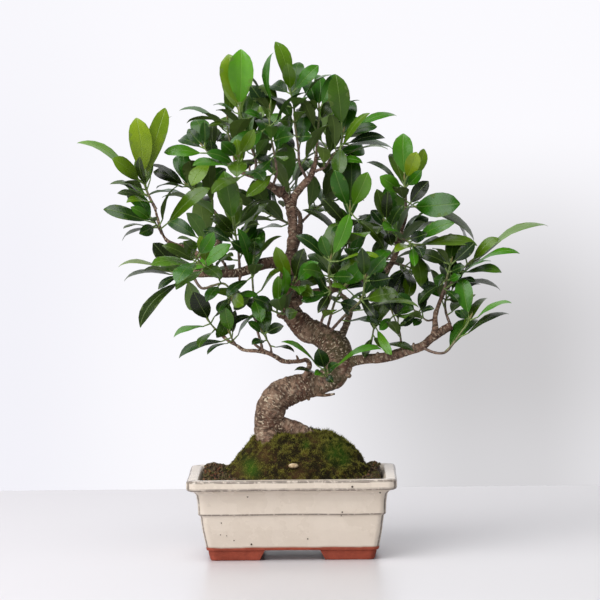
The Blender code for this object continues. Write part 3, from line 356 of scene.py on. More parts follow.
bare = stain(bare, grog, 0.15, (0.46, 0.17, 0.09))
colour = blend_colours(glaze_at, bare, cream)
colour = stain(colour, hem_at, 0.6, (0.22, 0.14, 0.09))
tree.links.new(colour, shader.inputs["Base Color"])
gloss = add_node(tree, "MapRange", {"Value": glaze_at, "To Min": 0.82, "To Max": 0.24}).outputs["Result"]
tree.links.new(times(gloss, times(cloud, 0.08), "ADD"), shader.inputs["Roughness"])
height = times(fine_noise(where, 5.5, 1.0), 0.5)
grain = times(times(fine_noise(where, 0.8, 3.0), 0.5),
              add_node(tree, "Math", {0: 1.0, 1: glaze_at}, operation="SUBTRACT").outputs[0])
raise_surface(shader, times(height, grain, "ADD"), 0.45)
body.data.materials.clear()
body.data.materials.append(finish)
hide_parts("pot")
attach(body, "root")

# ---------------------------------------------------------------------------------------------------
# Soil: crumbly potting mix pressed in to just under the rim. Red clay granules lie in the left corner,
# bark crumbs in the right one, and dark crumbs along the front edge where the moss ends.
SOIL_TOP = 77.0
BED_RINGS = 74  # rings across the top of the mix, from its edge inward
CRUMBS_STREWN = 6200
MOUND_CENTRE = np.array([12.0, 2.0])
MOUND_LEFT, MOUND_RIGHT, MOUND_DEPTH, MOUND_RISE = 88.0, 71.0, 59.0, 43.5


def mound_share(x, y):
    """How far out on the mound a place is: 0 at its middle, 1 at its edge, a joined pair of half ovals."""
    dx, dy = x - MOUND_CENTRE[0], y - MOUND_CENTRE[1]
    return np.hypot(dx / np.where(dx > 0, MOUND_RIGHT, MOUND_LEFT), dy / MOUND_DEPTH)


def lumps_at(chance, places, sizes, shape, faces):
    """A rough lump at each place: the shape with its points pushed about, grown to size and turned round."""
    count = len(places)
    rough = shape[None] * (1 + 0.42 * (chance.random((count, len(shape), 1)) - 0.5))
    squash = 0.6 + 0.6 * chance.random((count, 1, 3))
    rough = rough * squash * sizes[:, None, None]
    turn = chance.random(count) * math.tau
    cos, sin = np.cos(turn)[:, None], np.sin(turn)[:, None]
    x = rough[..., 0] * cos - rough[..., 2] * sin
    z = rough[..., 0] * sin + rough[..., 2] * cos
    lumps = np.stack([x, rough[..., 1], z], -1) + places[:, None]
    return lumps.reshape(-1, 3), repeated(faces, count, len(shape))


def repeated(faces, count, points):
    """The faces of `count` like shapes that follow each other, each of so many points."""
    return (faces[None] + points * np.arange(count)[:, None, None]).reshape(-1, faces.shape[1])


def round_grain():
    """The twelve corners and twenty faces of an icosahedron."""
    grain = bmesh.new()
    bmesh.ops.create_icosphere(grain, subdivisions=1, radius=1.0)
    corners = np.array([list(v.co) for v in grain.verts])
    faces = np.array([[v.index for v in f.verts] for f in grain.faces])
    grain.free()
    return corners, faces


def heaped(x, y):
    """How high the mix is pushed up: one bell in the right corner and a wider one along the left end."""
    right_corner = 11 * np.exp(-((x - 80) / 13) ** 2 - ((y - 14) / 34) ** 2)
    return right_corner + 10 * np.exp(-((x + 82) / 20) ** 2 - ((y - 14) / 55) ** 2)


chance = np.random.default_rng(11)
grain, grain_faces = round_grain()
share = np.concatenate([[1.0, 1.0, 1.0, 0.995], np.linspace(0.975, 0.03, BED_RINGS)])
level = np.concatenate([[22.0, 50.0, 72.0, 75.6], np.full(BED_RINGS, SOIL_TOP)])
grow = np.concatenate([[77.6, 83.6, 88.0, 88.4], np.full(BED_RINGS, 88.4)])
bed = box_rings(np.stack([grow * share, (grow - 25) * share, 7.0 * share, level], 1), samples)
rough = 1.5 * value_noise(bed, 15, 31) + 1.1 * value_noise(bed, 5.5, 32) + 0.8 * value_noise(bed, 2.4, 33)
inward = np.clip((1 - share[:, None]) / 0.03, 0, 1)
bed[4:, :, 2] += (rough + heaped(bed[..., 0], bed[..., 1]) * inward)[4:]
bed[..., 0] = bed[..., 0] * LONGER - SHIFTED
place = chance.uniform((-90, -63.5), (87, 63.5), (CRUMBS_STREWN, 2))
from_mound = mound_share(place[:, 0], place[:, 1])
place = place[(from_mound > 0.86) & (chance.random(CRUMBS_STREWN) < 0.8)]
size = 0.55 + 1.15 * chance.random(len(place)) ** 2.2
height = SOIL_TOP + 0.5 + 1.9 * chance.random(len(place)) + heaped(place[:, 0], place[:, 1])
crumbs, crumb_faces = lumps_at(chance, np.column_stack([place, height]), size, grain, grain_faces)
outward = np.abs(place[:, 0])
red = chance.random(len(place)) < np.where(place[:, 0] < -74, 0.22, np.where(outward > 60, 0.1, 0.05))
brown = chance.random(len(place)) < np.where(outward > 55, 0.7, 0.3)
kind = np.where(red, 1.0, np.where(brown, 0.5, 0.0)) + 0.2 * (chance.random(len(place)) - 0.5)
bed_points = len(share) * len(samples)
kind = np.concatenate([np.full(bed_points, 0.1), np.repeat(kind, len(grain))])
soil = make_piece("potting_soil", np.concatenate([bed.reshape(-1, 3), crumbs]),
                  capped_grid(len(share), len(samples)) + [crumb_faces + bed_points], {"kind": kind})
finish, tree, shader = new_finish("damp_potting_mix", 0.9, 0.2)
where = own_place(tree)
kind_at = read_mark(tree, "kind")
mottle = fine_noise(where, 3.0, 4.0, 0.7)
dark = blend_colours(span(mottle, 0.35, 0.7), (0.016, 0.010, 0.007), (0.075, 0.045, 0.028))
bark_crumb = blend_colours(span(mottle, 0.3, 0.65), (0.030, 0.021, 0.012), (0.165, 0.112, 0.062))
red_clay = blend_colours(span(mottle, 0.3, 0.65), (0.12, 0.032, 0.018), (0.27, 0.10, 0.055))
colour = blend_colours(span(kind_at, 0.2, 0.42), dark, bark_crumb)
colour = blend_colours(span(kind_at, 0.68, 0.82), colour, red_clay)
mossy = span(fine_noise(where, 8, 3.0, 0.6), 0.48, 0.60)
colour = stain(colour, mossy, 0.6, (0.075, 0.080, 0.016))
moist = span(fine_noise(where, 1.1, 2.0), 0.66, 0.74)
colour = stain(colour, moist, 0.45, (0.28, 0.22, 0.16))
tree.links.new(colour, shader.inputs["Base Color"])
raise_surface(shader, fine_noise(where, 0.8, 3.0), 0.4)
soil.data.materials.append(finish)
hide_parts("soil")
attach(soil, "root")

# ---------------------------------------------------------------------------------------------------
# Moss mound: a heap of soil round the root base, grown over with short cushion moss. It is brightest
# where fresh tufts have come up and brown where it has dried or let the soil through. Its blades are
# painted lighter toward their tips on the tallest tufts and darker between the tufts: partly the moss's own
# paler young tips, partly painted light on the tufts and painted shade in the gaps.
DOME_RINGS, DOME_SIDES, BLADES = 112, 300, 30000
# where each spot of fresh or of dry moss lies: x, z and radius
FRESH_TUFTS = ((44.0, 106.0, 10.0), (-43.0, 90.0, 8.0), (13.0, 113.0, 3.5), (50.0, 98.0, 6.0))
DRY_PATCHES = ((-30.0, 103.0, 10.0), (20.0, 117.0, 6.0), (4.0, 84.0, 9.0), (-52.0, 84.0, 9.0))


def mound_height(x, y):
    """The moss above the soil: a flat-topped heap, one less a power of the share and steeper to the right,
    with waves over it and a collar round the left root."""
    fade = np.clip(1 - mound_share(x, y) ** np.where(x > MOUND_CENTRE[0], 3.3, 3), 0, 1)
    waves = 1.3 * np.sin(x * 0.21 + 1.0) * np.cos(y * 0.23) + 0.9 * np.sin(x * 0.47 - y * 0.39)
    collar = 8 * np.exp(-((x + 41) / 11) ** 2 - ((y - 2) / 21) ** 2)
    return 1.2 + MOUND_RISE * fade**1.5 + waves * np.minimum(1, 4 * fade) * 0.8 + collar


def on_mound(rho, turn):
    """A point of the mound at a share of the way out and a bearing, cushions of three sizes raised on it."""
    round_edge = np.stack([np.cos(turn) * 9, np.sin(turn) * 9, 0 * turn], -1)
    reach = rho * (1 + 0.035 * value_noise(round_edge, 2.2, 41))
    dx = np.cos(turn) * reach * np.where(np.cos(turn) > 0, MOUND_RIGHT, MOUND_LEFT)
    dy = np.sin(turn) * reach * MOUND_DEPTH
    x, y = MOUND_CENTRE[0] + dx, MOUND_CENTRE[1] + dy
    point = np.stack([x, y, SOIL_TOP + mound_height(x, y)], -1)
    cushion = (2.2 * value_noise(point, 9, 42) + 2.0 * np.abs(value_noise(point, 4.6, 43))
               + 1.3 * value_noise(point, 2.1, 44))
    lean = np.stack([dx * 0.012, dy * 0.014, 0.75 + 0 * dx], -1)
    return point + lean * (cushion * np.clip(1.15 - rho, 0.12, 1) ** 0.5)[..., None]


def near_spots(points, spots):
    """One at the middle of a spot of (x, z, radius) on the front half, falling away like a bell."""
    total = 0.0
    for x, z, radius in spots:
        apart = ((points[..., 0] - x) ** 2 + (points[..., 2] - z) ** 2) / radius**2
        total = np.maximum(total, np.exp(-apart) * (points[..., 1] < 10))
    return total


def unit(lines):
    """Each line shortened to a length of one."""
    return lines / np.linalg.norm(lines, axis=-1, keepdims=True)


dome = on_mound(*np.meshgrid(np.linspace(1.0, 0.02, DOME_RINGS),
                             np.linspace(0, math.tau, DOME_SIDES, endpoint=False), indexing="ij"))
skirt = dome[:1] * (1, 1, 0) + (0, 0, SOIL_TOP - 2)
dome = np.concatenate([skirt, dome])
rho = np.sqrt(chance.random(BLADES)) * 0.985
bearing = chance.random(BLADES) * math.tau
root = on_mound(rho, bearing)
beside, above = on_mound(rho, bearing + 0.01), on_mound(rho - 0.01, bearing)
out = unit(np.cross(beside - root, above - root))
out *= np.sign(out[:, 2:3] + 0.001)
aim = unit(out + chance.normal(0, 0.42, (BLADES, 3)) + (0, 0, 0.25))
fresh = near_spots(root, FRESH_TUFTS)
tuft = np.clip(0.5 + 0.95 * value_noise(root, 3.4, 45), 0, 1)
length = (0.8 + 2.6 * chance.random(BLADES) ** 1.5) * (0.45 + 1.2 * tuft)
length *= (1 + 0.4 * fresh) * np.clip(1.3 - rho, 0.4, 1)
side = unit(np.cross(aim, chance.normal(0, 1, (BLADES, 3))))
other = np.cross(aim, side)
thick = (0.26 + 0.22 * chance.random(BLADES))[:, None]
foot = root - out * 0.4
spike = np.stack([foot + side * thick, foot + (other * 0.87 - side * 0.5) * thick,
                  foot - (other * 0.87 + side * 0.5) * thick, root + aim * length[:, None]], 1)
spike_faces = repeated(np.array([(0, 1, 3), (1, 2, 3), (2, 0, 3), (0, 2, 1)]), BLADES, 4)
tips = np.tile([0.0, 0.0, 0.0, 1.0], BLADES)
# each blade's random tone, raised on tall tufts and lowered between them: it carries painted light and shade
tone_and_tuft_light = np.repeat(0.45 * chance.random(BLADES) + 0.55 * tuft, 4)
dome_tone_and_tuft_light = 0.5 * np.clip(0.4 + 0.95 * value_noise(dome.reshape(-1, 3), 3.4, 45), 0, 1)
points = np.concatenate([dome.reshape(-1, 3), spike.reshape(-1, 3)])
dome_points = len(dome) * DOME_SIDES
groups = capped_grid(len(dome), DOME_SIDES) + [spike_faces + dome_points]
moss = make_piece("cushion_moss", points, groups, {
    "tip": np.concatenate([np.zeros(dome_points), tips]),
    "tone_and_tuft_light": np.concatenate([dome_tone_and_tuft_light, tone_and_tuft_light]),
    "fresh": near_spots(points, FRESH_TUFTS), "dry": near_spots(points, DRY_PATCHES)})
finish, tree, shader = new_finish("cushion_moss", 0.92, 0.1)
where = own_place(tree)
tip_at, tone_and_light_at, fresh_at, dry_at = (
    read_mark(tree, name) for name in ("tip", "tone_and_tuft_light", "fresh", "dry"))
# the tuft value lowers the mottle between tufts, darkening the gaps: painted shade, beside the moss's own
# random tone
mottle = times(times(fine_noise(where, 11, 3.0, 0.6), 0.40),
               times(fine_noise(where, 2.8, 3.0, 0.6), 0.25), "ADD")
mottle = times(mottle, times(tone_and_light_at, 0.35), "ADD")
colour = blend_colours(span(mottle, 0.38, 0.56), (0.013, 0.009, 0.004), (0.082, 0.066, 0.011))
colour = stain(colour, span(mottle, 0.52, 0.68), 0.95, (0.25, 0.225, 0.033))
rusty = span(fine_noise(where, 6, 2.0), 0.52, 0.68)
rusty = times(times(rusty, 0.5), times(dry_at, 0.8), "ADD")
colour = stain(colour, rusty, 0.6, (0.105, 0.052, 0.022))
colour = stain(colour, fresh_at, 0.6, (0.045, 0.150, 0.008))
# tips of blades on tall tufts lighter and yellower: partly paler young growth, partly painted light on the
# tufts' tops
lit = times(tip_at, tone_and_light_at)
colour = blend_colours(lit, colour, (0.40, 0.40, 0.08))
tree.links.new(colour, shader.inputs["Base Color"])
raise_surface(shader, fine_noise(where, 1.0, 3.0, 0.7), 1.2)
moss.data.materials.append(finish)
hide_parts("moss_mound")
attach(moss, "root")

# ---------------------------------------------------------------------------------------------------
# Pebble: one pale stone the size of a bean, worn round, with faint brown veins. It was dropped on the
# front of the mound and has half sunk into the moss.
PEBBLE_AT = np.array([0.0, -48.5, 93.5])
PEBBLE_RINGS, PEBBLE_SIDES = 20, 30
across, around = np.meshgrid(np.linspace(0.02, math.pi - 0.02, PEBBLE_RINGS),
                             np.linspace(0, math.tau, PEBBLE_SIDES, endpoint=False), indexing="ij")
ball = np.stack([np.sin(across) * np.cos(around), np.sin(across) * np.sin(around), np.cos(across)], -1)
ball = ball * (1 + 0.16 * value_noise(ball + 4, 0.9, 51) + 0.05 * value_noise(ball, 0.35, 52))[..., None]
pebble = make_piece("pale_pebble", ball * (4.9, 3.3, 2.5) + PEBBLE_AT,
                    capped_grid(PEBBLE_RINGS, PEBBLE_SIDES))
finish, tree, shader = new_finish("pale_stone", 0.75)
where = own_place(tree)
veins = span(fine_noise(where, 2.2, 4.0, 0.6), 0.35, 0.7)
colour = blend_colours(veins, (0.40, 0.28, 0.15), (0.68, 0.55, 0.36))
tree.links.new(colour, shader.inputs["Base Color"])
raise_surface(shader, fine_noise(where, 0.7, 3.0), 0.2)
pebble.data.materials.append(finish)
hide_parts("pebble")
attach(pebble, "root")

# ---------------------------------------------------------------------------------------------------
# Trunk: grown in an S from four roots that grip the mound, and bent while young. The bark is grey-brown
# and lumpy, wrinkled across where the bends squeezed it, and spotted all over with pale breathing pores.
TRUNK = [  # every row of the trunk, its roots and its knobs is x, y, z and radius
    (-31, 2, 58, 19), (-31, 2, 76, 21), (-29, 2, 94, 17.5), (-27, 1, 110, 14.6), (-25.7, 0, 124, 14),
    (-24, -1, 139, 15.4), (-19, -2, 154, 15), (-9, -2, 163, 14), (9, -1, 168.5, 13), (26, 0, 171.5, 12.5),
    (39, 1, 177, 12.8), (46, 2, 186, 13.8), (46.5, 3, 196, 15), (43, 3, 206, 15), (36, 4, 214, 13.6),
    (27, 5, 220, 12), (16, 5, 224, 12), (8.5, 6, 230, 11), (1.5, 6, 239, 10), (-2.4, 7, 249, 9.2),
    (-3.5, 7, 259, 9), (-1.6, 8, 270, 10), (-0.8, 8, 282, 9.8), (0, 7, 293, 7.2), (0, 6, 305, 5.2),
    (1, 5, 328, 5.2), (0, 5, 345, 5.4), (-3, 4, 356, 5), (-9, 2, 363, 4.2)]
ROOTS = [
    [(-22, -2, 131, 9), (-9, -3, 128.5, 9), (3, -4, 125.5, 7.6), (14, -5, 121, 6), (25, -6, 113, 4)],
    [(-24, -5, 122, 7), (-26, -9, 114, 6.5), (-28, -13, 105, 5.5), (-30, -16, 94, 4)],
    [(-28, 6, 113, 7), (-38, 10, 102, 5.5), (-47, 14, 90, 4.5), (-54, 18, 78, 3.4)],
    [(-24, 10, 119, 8), (-16, 24, 108, 6.5), (-6, 36, 95, 5), (2, 44, 80, 3.6)]]
KNOBS = [
    [(51, -3, 182, 4.5), (55.5, -5, 179.5, 2.8), (58, -6, 178, 1.5)],
    [(14, -3, 160, 4), (15.4, -4, 156.6, 2.4), (16, -4, 154.5, 1.2)],
    [(24, -6, 161.5, 3), (30, -8, 160, 1.7), (37, -9, 160.4, 1.1), (42, -9, 161.2, 0.6)],
    [(-24, -3, 157, 6), (-27.5, -4, 161.5, 3.6), (-29.2, -4, 163.4, 1.8)],
    [(1, -2, 252, 5), (8, -3, 253.5, 3.2), (10.5, -3, 254, 1.6)],
    [(-9, -2, 240, 4), (-13, -5, 240.5, 2.6), (-15, -6, 240.6, 1.4)]]


def grown_line(rows, step):
    """Rows evenly `step` apart on the smooth curve through the given rows, each stretch a cubic that leaves
    and meets its rows in line with their neighbours."""
    rows = np.asarray(rows, float)
    rows = np.concatenate([2 * rows[:1] - rows[1:2], rows, 2 * rows[-1:] - rows[-2:-1]])
    t = np.linspace(0, 1, 16, endpoint=False)[None, :, None]
    a, b, c, d = (rows[k:len(rows) - 3 + k, None] for k in range(4))
    fine = 0.5 * (2 * b + (c - a) * t + (2 * a - 5 * b + 4 * c - d) * t**2 + (3 * b - a - 3 * c + d) * t**3)
    fine = np.concatenate([fine.reshape(-1, rows.shape[1]), rows[-2:-1]])
    reach = np.concatenate([[0], np.cumsum(np.linalg.norm(np.diff(fine[:, :3], axis=0), axis=1))])
    at = np.linspace(0, reach[-1], max(4, int(reach[-1] / step) + 1))
    return np.stack([np.interp(at, reach, fine[:, k]) for k in range(rows.shape[1])], 1), at


def carried_frames(line):
    """Two directions across a line at each of its points, carried along it without twisting."""
    heading = unit(np.gradient(line, axis=0))
    side = np.empty_like(heading)
    last = np.cross(heading[0], (0.1, 1.0, 0.05))
    for k, ahead in enumerate(heading):
        last = last - ahead * last.dot(ahead)
        last = last / np.linalg.norm(last)
        side[k] = last
    return side, np.cross(heading, side)


def bark_tube(rows, step, sides, rough, seed, collar=0.0):
    """Bark round a line: circles of the rows' radii carried along it, pushed in and out by lumps, by folds
    that run across, and by raised pores. A collar widens the first few millimetres. Returns the points, their
    places on the bark laid out straight, and the faces with both ends closed."""
    fine, at = grown_line(rows, step)
    side, up = carried_frames(fine[:, :3])
    turn = np.linspace(0, math.tau, sides, endpoint=False)
    radius = fine[:, 3:4] * (1 + collar * np.exp(-(at[:, None] / 6.0) ** 2))
    radius = np.broadcast_to(radius, (len(fine), sides))
    straight = np.stack([radius * np.cos(turn), radius * np.sin(turn),
                         np.broadcast_to(at[:, None] + seed * 57.0, radius.shape)], -1)
    lumps = 1.25 * value_noise(straight, 15, 61) + 0.8 * value_noise(straight, 6.5, 62)
    folds = (0.75 * (0.5 - np.abs(value_noise(straight * (0.3, 0.3, 1.0), 4.4, 63)))
             + 0.4 * value_noise(straight * (0.5, 0.5, 1), 2.3, 64))
    pores = np.clip(value_noise(straight * (0.62, 0.62, 1.0), 1.9, 65) - 0.35, 0, 1) * 1.3
    pushed = radius + rough * (lumps + folds + pores)
    points = (fine[:, None, :3] + side[:, None] * (pushed * np.cos(turn))[..., None]
              + up[:, None] * (pushed * np.sin(turn))[..., None])
    return points.reshape(-1, 3), straight.reshape(-1, 3), capped_grid(len(fine), sides)


def join_tubes(name, tubes, age):
    """One piece from several tubes, each point marked with its place on the laid-out bark and that bark's
    age."""
    points, straight, tube_groups = zip(*tubes)
    sizes = [len(tube) for tube in points]
    starts = np.cumsum([0] + sizes)
    groups = [[[start + k for k in face] for face in group]
              for start, own_groups in zip(starts, tube_groups) for group in own_groups]
    return make_piece(name, np.concatenate(points), groups,
                      {"bark_place": np.concatenate(straight) * 0.001, "age": np.repeat(age, sizes)})


def bark_finish():
    """Bark coloured by its place laid out straight: age greys it, folds are dark, and pale pores lie across
    it. Above the first bend, about 150 to 250 mm up, it has a thin green film."""
    finish, tree, shader = new_finish("ficus_bark", 0.82, 0.25)
    place = read_mark(tree, "bark_place", "Vector")
    age = read_mark(tree, "age")
    across = add_node(tree, "Mapping", {"Vector": place, "Scale": (0.5, 0.5, 1.0)}).outputs["Vector"]
    cloud = span(fine_noise(place, 13, 4.0, 0.6), 0.34, 0.66)
    old = blend_colours(cloud, (0.100, 0.058, 0.038), (0.325, 0.212, 0.145))
    ruddy = span(fine_noise(place, 22, 3.0, 0.55), 0.48, 0.62, 0.0, 0.7)
    old = blend_colours(ruddy, old, (0.120, 0.054, 0.036))
    young = blend_colours(cloud, (0.080, 0.043, 0.030), (0.225, 0.134, 0.096))
    colour = blend_colours(age, young, old)
    fold = span(fine_noise(across, 2.6, 3.0, 0.65), 0.40, 0.53, 1.0, 0.0)
    colour = stain(colour, fold, 0.75, (0.034, 0.020, 0.014))
    pore = span(fine_noise(across, 1.5, 2.0, 0.5), 0.55, 0.65)
    patchy = span(fine_noise(place, 17, 2.0), 0.38, 0.56, 0.2, 1.0)
    pore = times(pore, times(patchy, span(age, 0.0, 1.0, 0.8, 0.95)))
    crust = times(span(fine_noise(across, 5.0, 4.0, 0.7), 0.55, 0.66), 0.5)
    colour = stain(colour, crust, age, (0.42, 0.33, 0.24))
    parts = add_node(tree, "SeparateXYZ", {"Vector": own_place(tree)}).outputs
    damp = times(span(parts["X"], -0.015, 0.020), span(parts["X"], 0.035, 0.060, 1.0, 0.0))
    damp = times(damp, times(span(parts["Z"], 0.125, 0.165),
                             span(parts["Z"], 0.24, 0.29, 1.0, 0.0)))
    damp = times(damp, span(fine_noise(place, 9, 3.0, 0.6), 0.36, 0.58))
    colour = stain(colour, damp, 0.6, (0.060, 0.058, 0.022))
    colour = stain(colour, pore, 0.85, (0.66, 0.54, 0.39))
    tree.links.new(colour, shader.inputs["Base Color"])
    wrinkles = times(fine_noise(across, 2.6, 4.0, 0.65), 0.7)
    raise_surface(shader, times(wrinkles, times(pore, 0.4), "ADD"), 1.1)
    return finish


bark = bark_finish()
tubes = [bark_tube(TRUNK, step=0.85, sides=96, rough=1.0, seed=0)]
tubes += [bark_tube(root, step=1.0, sides=44, rough=0.8, seed=k + 1, collar=0.25)
          for k, root in enumerate(ROOTS)]
tubes += [bark_tube(knob, step=0.8, sides=18, rough=0.3, seed=k + 7) for k, knob in enumerate(KNOBS)]
trunk = join_tubes("trunk_and_roots", tubes, [1.0] * 5 + [0.8] * len(KNOBS))
# the stem grows younger and browner from 235 mm up
coordinates = np.empty(len(trunk.data.vertices) * 3)
trunk.data.vertices.foreach_get("co", coordinates)
height = (coordinates.reshape(-1, 3)[:, 2] - POT_MIDDLE[2]) * 1000
trunk.data.attributes["age"].data.foreach_set("value", np.clip(1.0 - (height - 235) / 70, 0.25, 1.0))
trunk.data.materials.append(bark)
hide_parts("trunk")
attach(trunk, "root")

# ---------------------------------------------------------------------------------------------------
# Limbs: eight side branches with thinner, browner bark, each swelling into a collar where it leaves the
# trunk. Short dead snags are left where shoots were pinched out. A branch is its base radius, its tip
# radius and its line.
LIMBS = {
    "limb_apex_left": [(4.1, 1.6, [
        (-9.3, 1.9, 363.4), (-14.5, 0, 366), (-26, -1, 373.5), (-33, 0, 378.5), (-46, 3, 383),
        (-54.5, 6, 386), (-63, 8, 391), (-73, 10, 395)])],
    "limb_apex_right": [(4.3, 1.9, [
        (-1, 5, 351), (4, 7, 360), (10.5, 8, 368), (16, 9, 374), (21.5, 8, 381),
        (24.5, 6, 390), (26, 4, 402)])],
    "limb_left": [
        (7.2, 3.0, [(0, 8, 281), (-8, 6, 289), (-15, 4, 293), (-28, 0, 292), (-41, -4, 287), (-57, -6, 283),
                    (-75, -6, 283), (-87, -5, 283), (-101, -4, 283)]),
        (3.0, 2.0, [(-84, -4, 283), (-81, 4, 297), (-75, 8, 310), (-70, 12, 322), (-65, 14, 328)]),
        (2.8, 1.6, [(-86, -5, 284), (-91, -7, 300), (-104, -9, 309), (-118, -10, 313), (-126, -10, 319),
                    (-131, -9, 330), (-136, -8, 350)])],
    "limb_low_left": [(2.7, 1.3, [
        (10, -4, 170), (13, -10, 181), (17, -13, 190), (14, -15, 196), (7, -16, 195), (-8, -17, 195),
        (-17, -18, 200), (-25, -19, 204), (-36, -19, 206), (-48, -19, 207), (-56, -19, 212), (-63, -20, 216),
        (-72, -21, 224)])],
    "limb_low_right": [
        (5.4, 3.6, [(47, 0, 188), (60, -4, 193), (73, -9, 196), (93, -15, 198), (113, -19, 204),
                    (129, -20, 209), (139, -16, 216.5), (149.5, -11, 223), (158.5, -7, 228)]),
        (2.9, 1.9, [(142, -14, 218), (143, -14, 226), (143, -13, 238), (146, -11, 248), (150, -10, 259)])],
    "limb_right": [(4.4, 1.8, [
        (-2, 9, 257), (14, 15, 260), (29, 18, 262), (54, 20, 268), (74, 24, 274), (95, 28, 282),
        (105, 22, 300), (110, 14, 320), (115, 6, 341)])],
    "limb_back_high": [(4.2, 1.8, [(0, 9, 300), (4, 26, 310), (8, 50, 324), (8, 74, 336), (2, 95, 345)])],
    "limb_back_low": [(4.6, 1.9, [
        (42, 8, 206), (50, 30, 218), (57, 56, 234), (58, 80, 245), (50, 103, 252)])]}
SNAGS = {
    "limb_left": [[(-64, -8, 284, 1.6), (-66, -9, 290, 1.1), (-66.5, -9, 294, 0.7)],
                  [(-78, -7, 284, 1.5), (-79.5, -8, 289, 1.0), (-79, -8, 293, 0.6)],
                  [(-50, -7, 283, 1.8), (-52, -9, 278, 1.2), (-52, -10, 275, 0.8)]],
    "limb_low_left": [[(-25, -19, 204, 1.9), (-32, -20, 208.5, 1.4), (-38, -21, 213, 1.1)],
                      [(6, -16, 195, 1.6), (5, -19, 199, 1.0), (4, -20, 201, 0.7)]],
    "limb_low_right": [[(84, -13, 197, 2.4), (85, -16, 201, 1.5), (85.5, -17, 203, 1.1)],
                       [(120, -20, 206, 2.2), (121, -22, 210.5, 1.3), (121, -23, 212.5, 0.9)]],
    "limb_apex_left": [[(-40, 1, 381, 1.6), (-41, 0, 387, 1.0), (-40.5, -1, 391, 0.6)]],
    "limb_right": [[(40, 19, 265, 1.6), (40, 17, 270, 1.1), (39, 16, 274, 0.7)]]}
for number, (name, branches) in enumerate(LIMBS.items()):
    tubes = []
    for k, (base_radius, tip_radius, line) in enumerate(branches):
        radii = np.linspace(base_radius, tip_radius, len(line))
        tubes.append(bark_tube(np.column_stack([line, radii]), step=0.8, sides=26, rough=0.42,
                               seed=20 + number * 4 + k, collar=0.55 if k == 0 else 0.3))
    tubes += [bark_tube(snag, step=0.7, sides=10, rough=0.15, seed=60 + number)
              for snag in SNAGS.get(name, [])]
    limb = join_tubes("bark_of_" + name, tubes, [0.55 if name.startswith("limb_low") else 0.25] * len(tubes))
    limb.data.materials.append(bark)
    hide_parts(name)
    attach(limb, "root")

# ---------------------------------------------------------------------------------------------------
# Shoots: the leafy ends. Each is a brown twig turning green, with leathery leaves standing on short
# stalks at its nodes, new ones yellow-green and old ones nearly black, and a pointed bud at the tip.
FILL_LENGTHS = (46.0, 38.0, 52.0, 42.0, 34.0)
FILL_DEPTHS = (-118.0, 153.0)  # the tips of the filling leaves stay between these
FILL_TONES = (4.2, 2.2, 5.6, 3.2, 6.4)
FOREMOST = (cad_box[0][1] - POT_MIDDLE[1]) * 1000  # no leaf stands nearer than the CAD model's own front
GAP = 0.35  # air between a shoot and the wood that carries it
WOOD_SIDES, LIMB_SIDES, STEM_SIDES = 11, 7, 4  # of the plain tubes that stand for wood when leaves are placed
TWIG_SIDES = 9
# A listed leaf that would touch another is made shorter, turned by some degrees, or reaches nearer or
# further by some millimetres, whichever clears it first.
SHORTENED = (1.0, 0.86, 0.74)
SWINGS = (0, 18, -18, 36, -36)
SHIFTS = (0, 6, -6, 12, -12, 19, -19, 27, -27, 36, -36)
SPIRAL = 137.5  # degrees from each filling leaf to the next round the stem
FILL_TRIALS = 36
NARROW_AIR, WIDE_AIR = 0.42, 0.3  # left round a leaf as it is placed, and as it grows to its full width
LONGEST_STALK, STALK_SHARE, WIDEST_LEAF = 11.0, 0.17, 31.0
STALK_AT = np.array([-0.12, 0.25, 0.62, 0.92])
BLADE_AT = np.array([0.03, 0.12, 0.24, 0.37, 0.51, 0.65, 0.78, 0.88, 0.95, 0.985, 1.0])
